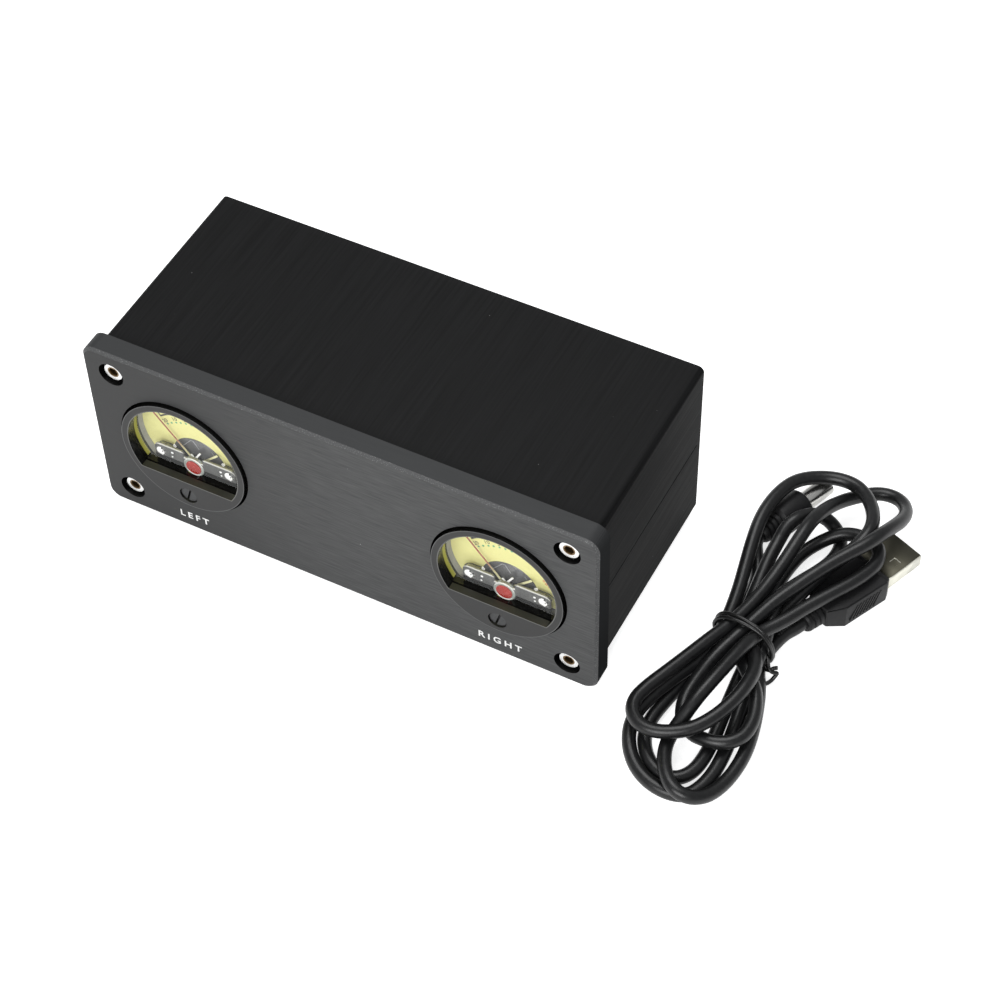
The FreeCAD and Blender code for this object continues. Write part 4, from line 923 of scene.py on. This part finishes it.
def light_bar(side):
    """The clear light bar with its round ends, middle notch and feet, and the ring round the cap."""
    shape = bmesh.new()
    outline = []
    for sign, end in ((1, BAR_RIGHT), (-1, BAR_LEFT)):
        half = [(end, BAR_LOW)]
        for step in range(7):
            turn = math.radians(90 * step / 6)
            half.append((end - sign * BAR_ROUND * (1 - math.cos(turn)),
                         BAR_HIGH - BAR_ROUND * (1 - math.sin(turn))))
        half += [(sign * (NOTCH_HALF + NOTCH_SLOPE), BAR_HIGH),
                 (sign * NOTCH_HALF, BAR_HIGH - NOTCH_SLOPE), (sign * NOTCH_HALF, NOTCH_LOW)]
        outline += half[::sign]
    flat_mark(shape, outline, BAR_REAR, BAR_REAR - BAR_FRONT)
    bmesh.ops.recalc_face_normals(shape, faces=shape.faces)
    round_edges(shape, 0.26, angle=40)
    foot = (2, BAR_REAR - BAR_FRONT - 0.1, 0.8)
    for across in (-FOOT_ACROSS, FOOT_ACROSS):
        add_block(shape, foot, (across, (BAR_FRONT + BAR_REAR) / 2, FOOT_UP))
    meter_piece("clear_bar", side, shape, [BAR_CLEAR], crease=12)
    shape = bmesh.new()
    turned_form(shape, [(2.32, BAR_FRONT + 0.3), (2.32, -3.15), (2.6, -3.2), (2.8, -3.36), (3.05, -3.3),
                        (3.2, -3.0), (3.2, BAR_REAR - 0.02), (2.32, BAR_REAR - 0.02),
                        (2.32, BAR_FRONT + 0.3)], 56)
    place(shape, Matrix.Translation(Vector((0, 0, -BOSS_DROP)) * MM))
    return meter_piece("boss_ring", side, shape, [BOSS_CLEAR], crease=50)


# a lamp's lens, from its outer ring: facets, outer and inner radius, how far it is raised, and which
# finish each facet has (0 a painted glint, 1 grey glass, 2 painted shade), counter-clockwise from the
# right
FACET_RINGS = ((16, 1.6, 1.05, 0.0, (1, 2, 1, 2, 1, 2, 1, 2, 0, 2, 0, 2, 0, 2, 1, 2)),
               (10, 1.05, 0.5, 0.12, (1, 2, 0, 2, 1, 2, 1, 2, 0, 2)))
LENS_THICK = 0.2
# how far the lens and its dots stand out of the bar
LENS_PROUD = 0.08
DOT_PROUD = 0.18
# a lamp's lens and its two bright dots, which are painted glints, for each end of the bar: across, up and
# radius
LAMP_LENSES = (((-10.1, -6.0), ((-6.4, -4.75, 0.42), (-6.56, -6.4, 0.3))),
               ((11.3, -5.75), ((8.75, -4.85, 0.42), (8.87, -6.25, 0.3))))


def lamp_windows(side):
    """The faceted lens of each lamp in the light bar, its facets painted as glints and shade, and small
    painted glint dots on and beside it.
    """
    shape = bmesh.new()
    for (across, up), dots in LAMP_LENSES:
        for count, wide, narrow, raised, facets in FACET_RINGS:
            start = len(shape.faces)
            middle = Vector((across, BAR_FRONT - LENS_PROUD - raised, up)) * MM
            bmesh.ops.create_cone(
                shape, segments=count, radius1=wide * MM, radius2=narrow * MM, depth=LENS_THICK * MM,
                cap_ends=True,
                matrix=Matrix.Translation(middle) @ Matrix.Rotation(math.radians(90), 4, "X"))
            shape.faces.ensure_lookup_table()
            for face in shape.faces[start:]:
                away = face.calc_center_median() / MM - Vector((across, 0, up))
                turn = math.degrees(math.atan2(away.z, away.x)) % 360
                face.material_index = facets[int(turn * count // 360)] if len(face.verts) == 4 else 1
        start = len(shape.faces)
        for u, w, size in ((across + 0.05, up + 0.2, 0.42),) + dots:
            middle = Vector((u, BAR_FRONT - DOT_PROUD, w)) * MM
            bmesh.ops.create_icosphere(
                shape, subdivisions=2, radius=size * MM,
                matrix=Matrix.Translation(middle) @ Matrix.Diagonal((1, 0.4, 0.8, 1)))
        shape.faces.ensure_lookup_table()
        for face in shape.faces[start:]:
            face.material_index = 0
    meter_piece("lamp_windows", side, shape, [LAMP_GLINT, LAMP_GLASS, LAMP_PAINTED_SHADE], crease=12)


# ---------------------------------------------------------------- finishes with a pattern

# where a finish changes, in millimetres, from where it starts to where it is whole: on the axis that
# a name ends with, UP from the meters' middle height, AWAY from the nearer meter's middle, ALONG the
# pointer from its pivot, and HALF from the middle of the mirrored strip
BAR_SHADE_Z = (METER_Z - 7.3, METER_Z - 7.5)
PLATE_INSIDE_X = (73.5, 73)
PLATE_INSIDE_UP = (28.5, 28)
WELL_Y = (-36.5, -36.3)
# painted shade on the front plate, darker from its middle towards the left
LEFT_SHADE_X = (10, -65)
BEZEL_FACE_Y = (-38.3, -38.5)
SILL_Y = (-36.2, -36.4)
SILL_UP = (-8.2, -8.6)
MIRROR_Y = -34.0
MIRROR_HALF = (0.8, 0.5)
MIRROR_AWAY = (18.2, 18.0)
# the bezel face's painted highlights: pale rims at the window's edge and at the outer edge
WINDOW_AWAY = (17.2, 17.1)
WINDOW_UP = (-9.72, -9.62)
OUTER_AWAY = (18.68, 18.76)
BLADE_ALONG = (4.5, 10.5)
# where the front screws' painted shade deep in their holes begins
SCREW_HOLE_Y = (-36.1, -35.9)
SOCKET_END_Y = (36.8, 37.0)
RED_SOCKET_X = (-37.0, -36.0)
# the front screws' middles, from the front plate's middle
SCREW_ACROSS = 66.4
SCREW_UP = 22.6
# the black of painted shade in the front plate's holes, and round the zero screws' rims and in their
# slots
HOLE_SHADE = (0.003, 0.003, 0.003)
SLOT_SHADE = (0.004, 0.004, 0.004)


def away_from(finish, across, up):
    """How far from a line along Y a place is, from its distances across and up."""
    return finish.math("SQRT", finish.math("ADD", finish.product(across, across), finish.product(up, up)))


def meter_axes(finish):
    """The places across and up from the middle of the nearer meter, on either side."""
    axes = finish.axes()
    across = finish.math("SUBTRACT", finish.math("ABSOLUTE", axes["X"]), METER_X * MM)
    return across, finish.math("SUBTRACT", axes["Z"], METER_Z * MM)


def scattered_specks(finish, colour):
    """Tiny pale specks, well apart from each other."""
    cells = finish.nodes.new("ShaderNodeTexVoronoi")
    cells.inputs["Scale"].default_value = 130
    finish.links.new(finish.place, cells.inputs["Vector"])
    speck = finish.ramp(cells.outputs["Distance"], 0.022, 0.014)
    finish.tint(speck, colour)


def panel_finish():
    """Dark grey anodising: brushed face, blasted bevel with painted glints, painted shade towards the
    left and on the sides, black painted shade in the holes.
    """
    finish = Finish("panel_grey", (0.030, 0.031, 0.032), (0.074, 0.075, 0.075), (0.42, 0.55), 2400,
                    stretch=(0.05, 1, 1), bump=0.12, Specular_IOR_Level=0.22)
    facing = finish.facing()
    axes = finish.axes()
    front = finish.math("MULTIPLY", facing["Y"], -1)
    edge = finish.ramp(front, 0.55, 0.3)
    bevel = finish.product(finish.ramp(front, 0.985, 0.96), finish.ramp(front, 0.3, 0.55))
    sparkle = finish.nodes.new("ShaderNodeTexNoise")
    sparkle.inputs["Scale"].default_value = 4200
    sparkle.inputs["Detail"].default_value = 2
    finish.links.new(finish.place, sparkle.inputs["Vector"])
    sideways = finish.ramp(finish.math("ABSOLUTE", facing["X"]), 0.5, 0.8)
    up = finish.math("ABSOLUTE", finish.math("SUBTRACT", axes["Z"], METER_Z * MM))
    inside = finish.product(finish.ramp_mm(finish.math("ABSOLUTE", axes["X"]), *PLATE_INSIDE_X),
                            finish.ramp_mm(up, *PLATE_INSIDE_UP))
    # painted shade: the plate grows darker towards the left
    finish.tint(finish.math("MULTIPLY", finish.ramp_mm(axes["X"], *LEFT_SHADE_X), 0.72), (0.018, 0.018, 0.018))
    scattered_specks(finish, (0.30, 0.30, 0.30))
    # painted highlight: the bevel is lighter, with bright speckles as painted glints
    finish.tint(bevel, (0.062, 0.063, 0.064))
    finish.tint(finish.product(bevel, finish.ramp(sparkle.outputs[0], 0.56, 0.72)), (0.17, 0.17, 0.17))
    # painted shade: the top, sides and hole walls are darker than the face
    finish.tint(edge, (0.028, 0.029, 0.030))
    finish.vary("Specular IOR Level", finish.product(edge, sideways), 0.0)
    # painted shade: black on the walls of the holes and deeper than the face
    finish.tint(finish.product(edge, inside), HOLE_SHADE)
    finish.tint(finish.product(inside, finish.ramp_mm(axes["Y"], *WELL_Y)), HOLE_SHADE)
    return finish


def case_finish(name, streak):
    """Black anodising with streaks from front to rear, and duller sides."""
    finish = Finish(name, tuple(0.35 * c for c in streak), streak, (0.42, 0.55), 1500,
                    stretch=(1, 0.02, 1), bump=0.12, Specular_IOR_Level=0.1)
    scattered_specks(finish, (0.12, 0.12, 0.12))
    sideways = finish.ramp(finish.math("ABSOLUTE", finish.facing()["X"]), 0.5, 0.9)
    finish.vary("Specular IOR Level", sideways, 0.02)
    return finish


def bezel_finish():
    """Glossy black, with painted light: a grey sheen on the face, pale highlights on its rims, a dark
    olive reflection on the sill, and the dial's yellow mirrored in the left wall.
    """
    finish = Finish("bezel_black_painted_light", (0.004, 0.004, 0.004), (0.007, 0.007, 0.006), (0.10, 0.2), 700,
                    bump=0.0, Specular_IOR_Level=0.35)
    facing = finish.facing()
    along = finish.axes()["Y"]
    across, up = meter_axes(finish)
    away = away_from(finish, across, up)
    sill = finish.product(finish.ramp(facing["Z"], 0.5, 0.9), finish.ramp_mm(along, *SILL_Y),
                          finish.ramp_mm(up, *SILL_UP))
    middle = finish.math("ABSOLUTE", finish.math("SUBTRACT", along, MIRROR_Y * MM))
    mirrored = finish.product(finish.ramp_mm(middle, *MIRROR_HALF), finish.ramp(facing["X"], 0.35, 0.6),
                              finish.ramp_mm(away, *MIRROR_AWAY))
    face = finish.product(finish.ramp(facing["Y"], -0.9, -0.98), finish.ramp_mm(along, *BEZEL_FACE_Y))
    window = finish.product(finish.ramp_mm(away, *WINDOW_AWAY), finish.ramp_mm(up, *WINDOW_UP))
    # painted reflection: the black sill's top is painted dark olive, the dial's light in it
    finish.tint(sill, (0.026, 0.026, 0.020))
    # painted reflection of the dial's yellow in the left wall
    finish.tint(mirrored, (0.50, 0.49, 0.12))
    # painted sheen: the black face is painted grey, the front light's sheen on it
    finish.tint(face, (0.034, 0.034, 0.034))
    # painted highlights: pale rims along the window and the outer edge
    finish.tint(finish.product(face, window), (0.13, 0.13, 0.125))
    finish.tint(finish.product(face, finish.ramp_mm(away, *OUTER_AWAY)), (0.095, 0.096, 0.096))
    finish.vary("Roughness", sill, 0.35)
    finish.vary("Roughness", face, 0.5)
    finish.vary("Specular IOR Level", face, 0.2)
    return finish


def dial_finish():
    """Pale yellow paint."""
    return Finish("dial_yellow", (0.775, 0.745, 0.295), (0.825, 0.795, 0.33), (0.5, 0.6), 500, bump=0.02)


def lens_finish():
    """Clear acrylic: a mirror as strong as its Fresnel, and otherwise seen through."""
    finish = Finish("clear_lens", (0.93, 0.94, 0.94), (0.97, 0.98, 0.98), (0.02, 0.04), 300, bump=0.01,
                    metallic=1.0)
    fresnel = finish.nodes.new("ShaderNodeFresnel")
    fresnel.inputs["IOR"].default_value = 1.3
    inside = finish.nodes.new("ShaderNodeNewGeometry").outputs["Backfacing"]
    mirror = finish.product(fresnel.outputs[0], finish.math("SUBTRACT", 1, inside))
    finish.links.new(mirror, finish.shader.inputs["Alpha"])
    return finish


def clear_finish(name, front, shaded):
    """Clear moulding: grey and half seen through from the front, with painted light: tops painted pale
    yellow, bright rounded edges as painted highlights, and where shaded is set, painted shade on a dark
    lower strip."""
    finish = Finish(name, front, tuple(1.7 * c for c in front), (0.30, 0.42), 900, stretch=(1, 1, 0.35),
                    bump=0.01, Alpha=0.93, Specular_IOR_Level=0.3)
    facing = finish.facing()
    top = finish.ramp(facing["Z"], 0.85, 0.97)
    rounded = finish.product(finish.ramp(facing["Z"], 0.25, 0.45), finish.ramp(facing["Y"], -0.25, -0.45))
    # painted light: the tops are painted pale yellow, the dial's light seen in them
    finish.tint(top, (0.42, 0.40, 0.24))
    # painted highlight: the rounded edges are painted near white
    finish.tint(rounded, (0.86, 0.86, 0.82))
    finish.vary("Alpha", top, 0.55)
    finish.vary("Alpha", rounded, 1.0)
    if shaded:
        lower = finish.ramp_mm(finish.axes()["Z"], *BAR_SHADE_Z)
        finish.tint(lower, (0.006, 0.006, 0.0055))
        finish.vary("Roughness", lower, 0.6)
        finish.vary("Specular IOR Level", lower, 0.08)
        finish.vary("Alpha", lower, 1.0)
    return finish


def pointer_finish(side):
    """A red blade on a bare yellowish arm."""
    sign = -1 if side == "left" else 1
    finish = Finish(side + "_pointer_paint", (0.74, 0.70, 0.36), (0.82, 0.79, 0.50), (0.3, 0.4), 900)
    axes = finish.axes()
    across = finish.math("SUBTRACT", axes["X"], sign * METER_X * MM)
    up = finish.math("SUBTRACT", axes["Z"], (METER_Z - PIVOT_DROP) * MM)
    turn = math.radians(REST_ANGLE)
    along = finish.math("ADD", finish.math("MULTIPLY", across, -math.sin(turn)),
                        finish.math("MULTIPLY", up, math.cos(turn)))
    finish.tint(finish.ramp_mm(along, *BLADE_ALONG), (0.36, 0.085, 0.06))
    return finish


def shell_finish():
    """Plated steel: bright on the sides, duller on top, where it is painted dark as painted shade."""
    finish = Finish("bright_shell", (0.66, 0.65, 0.56), (0.80, 0.79, 0.70), (0.26, 0.36), 700,
                    stretch=(1, 0.1, 1), bump=0.03, metallic=0.85)
    top = finish.ramp(finish.facing()["Z"], 0.7, 0.95)
    # painted shade: the top is painted dark
    finish.tint(top, (0.115, 0.11, 0.082))
    finish.vary("Roughness", top, 0.55)
    return finish


def zero_screw_finish():
    """Grey paint, with black painted shade round its rim and, wider than the cut slot, in its slot."""
    finish = Finish("zero_screw_grey", (0.024, 0.025, 0.026), (0.050, 0.051, 0.052), (0.3, 0.45), 1600,
                    Specular_IOR_Level=0.25)
    across, up = meter_axes(finish)
    across = finish.product(across, finish.math("SIGN", finish.axes()["X"]))
    up = finish.math("ADD", up, ZERO_DROP * MM)
    turn = math.radians(SLOT_LEAN)
    beside = finish.math("SUBTRACT", finish.math("MULTIPLY", across, math.cos(turn)),
                         finish.math("MULTIPLY", up, math.sin(turn)))
    slot = finish.math("ABSOLUTE", beside)
    # painted shade: black round the rim and in a band wider than the slot
    finish.tint(finish.ramp_mm(away_from(finish, across, up), 2.2, 2.35), SLOT_SHADE)
    finish.tint(finish.ramp_mm(slot, 0.36, 0.3), SLOT_SHADE)
    return finish


def screw_finish():
    """Bright ring heads with a brown socket, a painted golden highlight in its middle, and painted shade
    at its bottom.
    """
    finish = Finish("screw_bright", (0.80, 0.80, 0.79), (0.92, 0.92, 0.91), (0.25, 0.4), 900,
                    metallic=0.6)
    axes = finish.axes()
    across = finish.math("SUBTRACT", finish.math("ABSOLUTE", axes["X"]), SCREW_ACROSS * MM)
    up = finish.math("SUBTRACT", axes["Z"], METER_Z * MM)
    up = finish.math("SUBTRACT", finish.math("ABSOLUTE", up), SCREW_UP * MM)
    away = away_from(finish, across, up)
    finish.tint(finish.ramp_mm(away, 1.78, 1.62), (0.16, 0.095, 0.035))
    # painted highlight: a golden middle in the socket
    finish.tint(finish.ramp_mm(away, 1.0, 0.7), (0.36, 0.25, 0.11))
    # painted shade: darker deep in the hole
    hole = finish.product(finish.ramp_mm(away, 2.2, 1.9), finish.ramp_mm(axes["Y"], *SCREW_HOLE_Y))
    finish.tint(hole, (0.045, 0.028, 0.012))
    return finish


def socket_finish():
    """Black sockets with the inner insulator of one white and of the other red."""
    finish = Finish("socket_plastic", (0.012, 0.012, 0.012), (0.022, 0.022, 0.022), (0.35, 0.5), 700)
    axes = finish.axes()
    end = finish.ramp_mm(axes["Y"], *SOCKET_END_Y)
    finish.tint(end, (0.72, 0.72, 0.70))
    finish.tint(finish.product(end, finish.ramp_mm(axes["X"], *RED_SOCKET_X)), (0.50, 0.03, 0.025))
    return finish


# ---------------------------------------------------------------- making

aim_camera()
lay_floor()
light_up()

CORD_JACKET = Finish("cord_jacket", (0.0045, 0.0046, 0.005), (0.0085, 0.0087, 0.009), (0.30, 0.40), 900,
                     bump=0.03, Specular_IOR_Level=0.42)
PLUG_MOULD = Finish("plug_mould", (0.005, 0.005, 0.0055), (0.0095, 0.0095, 0.010), (0.42, 0.54), 1400,
                    bump=0.08, Specular_IOR_Level=0.25)
TIE_BLACK = Finish("tie_black", (0.005, 0.005, 0.005), (0.009, 0.009, 0.009), (0.25, 0.35), 1200,
                   bump=0.03, Specular_IOR_Level=0.45)
# painted highlights round the flat plug shell's windows
SHELL_RIM_HIGHLIGHT = Finish("shell_rim_highlight", (0.55, 0.54, 0.48), (0.70, 0.69, 0.62), (0.3, 0.4), 900, metallic=0.5)
RIM_PALE = Finish("rim_pale", (0.30, 0.30, 0.27), (0.38, 0.38, 0.35), (0.4, 0.5), 600)
INK_BLACK = Finish("ink_black", (0.02, 0.02, 0.02), (0.035, 0.035, 0.035), (0.5, 0.6), 900)
INK_RED = Finish("ink_red", (0.5, 0.04, 0.03), (0.62, 0.06, 0.04), (0.5, 0.6), 900)
INK_GREEN = Finish("ink_green", (0.10, 0.36, 0.17), (0.14, 0.45, 0.22), (0.5, 0.6), 900)
INK_WHITE = Finish("ink_white", (0.78, 0.78, 0.77), (0.86, 0.86, 0.85), (0.5, 0.6), 900)
COVER_GREY = Finish("cover_grey", (0.085, 0.086, 0.088), (0.115, 0.116, 0.118), (0.12, 0.25), 500,
                    bump=0.05)
RIDGE_HIGHLIGHT = Finish("ridge_painted_highlight", (0.24, 0.24, 0.25), (0.34, 0.34, 0.35), (0.3, 0.4), 900)
# painted glints on the lamp lenses: white, with a weak glow of their own
LAMP_GLINT = Finish("lamp_glint", (0.8, 0.8, 0.78), (0.95, 0.95, 0.92), (0.08, 0.2), 1500,
                    Emission_Color=(1, 0.99, 0.95, 1), Emission_Strength=0.2)
LAMP_GLASS = Finish("lamp_glass", (0.18, 0.18, 0.17), (0.30, 0.30, 0.28), (0.3, 0.45), 1500, bump=0.02,
                    Specular_IOR_Level=0.2)
# painted shade on the lens facets that catch no light
LAMP_PAINTED_SHADE = Finish("lamp_painted_shade", (0.03, 0.03, 0.03), (0.08, 0.08, 0.075), (0.4, 0.55), 1500, bump=0.02,
                    Specular_IOR_Level=0.1)
BAR_CLEAR = clear_finish("bar_clear", (0.088, 0.089, 0.086), True)
BOSS_CLEAR = clear_finish("boss_clear", (0.30, 0.33, 0.30), False)

lead_plugs = (flat_mould(), flat_shell(), round_plug())
tie()
lay_lead()
panel_words()
for side in ("left", "right"):
    dial_print(side)
    hill_cover(side)
    lamp_windows(side)
    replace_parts(light_bar(side), side + "_light_bar")
    dress(pointer_finish(side), side + "_pointer")

BLACK_PLASTIC = Finish("black_plastic", (0.012, 0.012, 0.012), (0.022, 0.022, 0.022), (0.35, 0.5), 600)
BRIGHT_NICKEL = Finish("bright_nickel", (0.60, 0.59, 0.56), (0.76, 0.75, 0.72), (0.18, 0.3), 800,
                       stretch=(1, 0.2, 1), metallic=1.0)
dress(panel_finish(), "front_panel")
dress(case_finish("upper_case_black", (0.0085, 0.0086, 0.009)), "upper_case")
dress(case_finish("lower_case_black", (0.0085, 0.0086, 0.009)), "lower_case")
dress(case_finish("rear_panel_black", (0.0095, 0.0096, 0.010)), "rear_panel")
dress(bezel_finish(), *both("meter_bezel"))
dress(dial_finish(), *both("dial_plate"))
dress(lens_finish(), *both("meter_lens"))
dress(screw_finish(), "front_screws")
dress(Finish("cap_red", (0.40, 0.035, 0.028), (0.50, 0.06, 0.048), (0.2, 0.3), 500, Coat_Weight=0.15),
      *both("hub_cap"))
dress(Finish("lever_bright", (0.82, 0.82, 0.79), (0.92, 0.92, 0.89), (0.3, 0.45), 1200),
      *both("zero_lever", "front_bridge", "hairspring"))
dress(zero_screw_finish(), *both("zero_screw"))
dress(BLACK_PLASTIC, *both("meter_housing"), "power_socket", "driver_chips", "usb_plug_tongue")
dress(Finish("iron_plated", (0.09, 0.09, 0.10), (0.16, 0.16, 0.17), (0.35, 0.55), 600, metallic=0.9),
      *both("magnet_frame", "magnet_core"))
dress(Finish("coil_copper", (0.42, 0.20, 0.09), (0.58, 0.30, 0.14), (0.3, 0.45), 3000,
             stretch=(1, 0.2, 1), metallic=0.8), *both("moving_coil"))
dress(Finish("foot_rubber", (0.010, 0.010, 0.010), (0.020, 0.020, 0.019), (0.7, 0.85), 1600, bump=0.25),
      "rubber_feet")
dress(Finish("screw_black", (0.016, 0.016, 0.017), (0.030, 0.030, 0.031), (0.3, 0.42), 1300),
      "rear_screws")
dress(BRIGHT_NICKEL, "input_barrels", "power_pin", "dc_plug_barrel", "meter_tags")
# painted glints: the dial screws are white and glow weakly, though they are no lamps
dress(Finish("dial_screw_painted_glint", (0.80, 0.80, 0.76), (0.90, 0.90, 0.87), (0.2, 0.3), 1500,
             Emission_Color=(1, 0.99, 0.95, 1), Emission_Strength=0.5), "dial_screws")
dress(socket_finish(), "input_sockets")
dress(Finish("board_green", (0.012, 0.075, 0.035), (0.020, 0.110, 0.055), (0.35, 0.5), 500),
      "driver_board")
dress(Finish("plug_cream", (0.62, 0.58, 0.46), (0.70, 0.66, 0.54), (0.4, 0.5), 600), "board_plugs")
dress(Finish("sleeve_blue", (0.02, 0.03, 0.10), (0.035, 0.05, 0.15), (0.3, 0.4), 700), "capacitors")
dress(Finish("resistor_tan", (0.40, 0.28, 0.15), (0.50, 0.36, 0.20), (0.4, 0.5), 900), "resistors")
dress(Finish("trimmer_blue", (0.03, 0.10, 0.28), (0.05, 0.15, 0.36), (0.35, 0.45), 700), "trimmer_bodies")
dress(Finish("rotor_white", (0.68, 0.68, 0.66), (0.78, 0.78, 0.76), (0.35, 0.45), 900),
      *both("trimmer_rotor"))
dress(Finish("lamp_warm", (0.80, 0.74, 0.50), (0.90, 0.85, 0.62), (0.3, 0.4), 900), "meter_lamps")
dress(Finish("wire_grey", (0.16, 0.16, 0.16), (0.24, 0.24, 0.24), (0.4, 0.5), 900), "meter_wires")
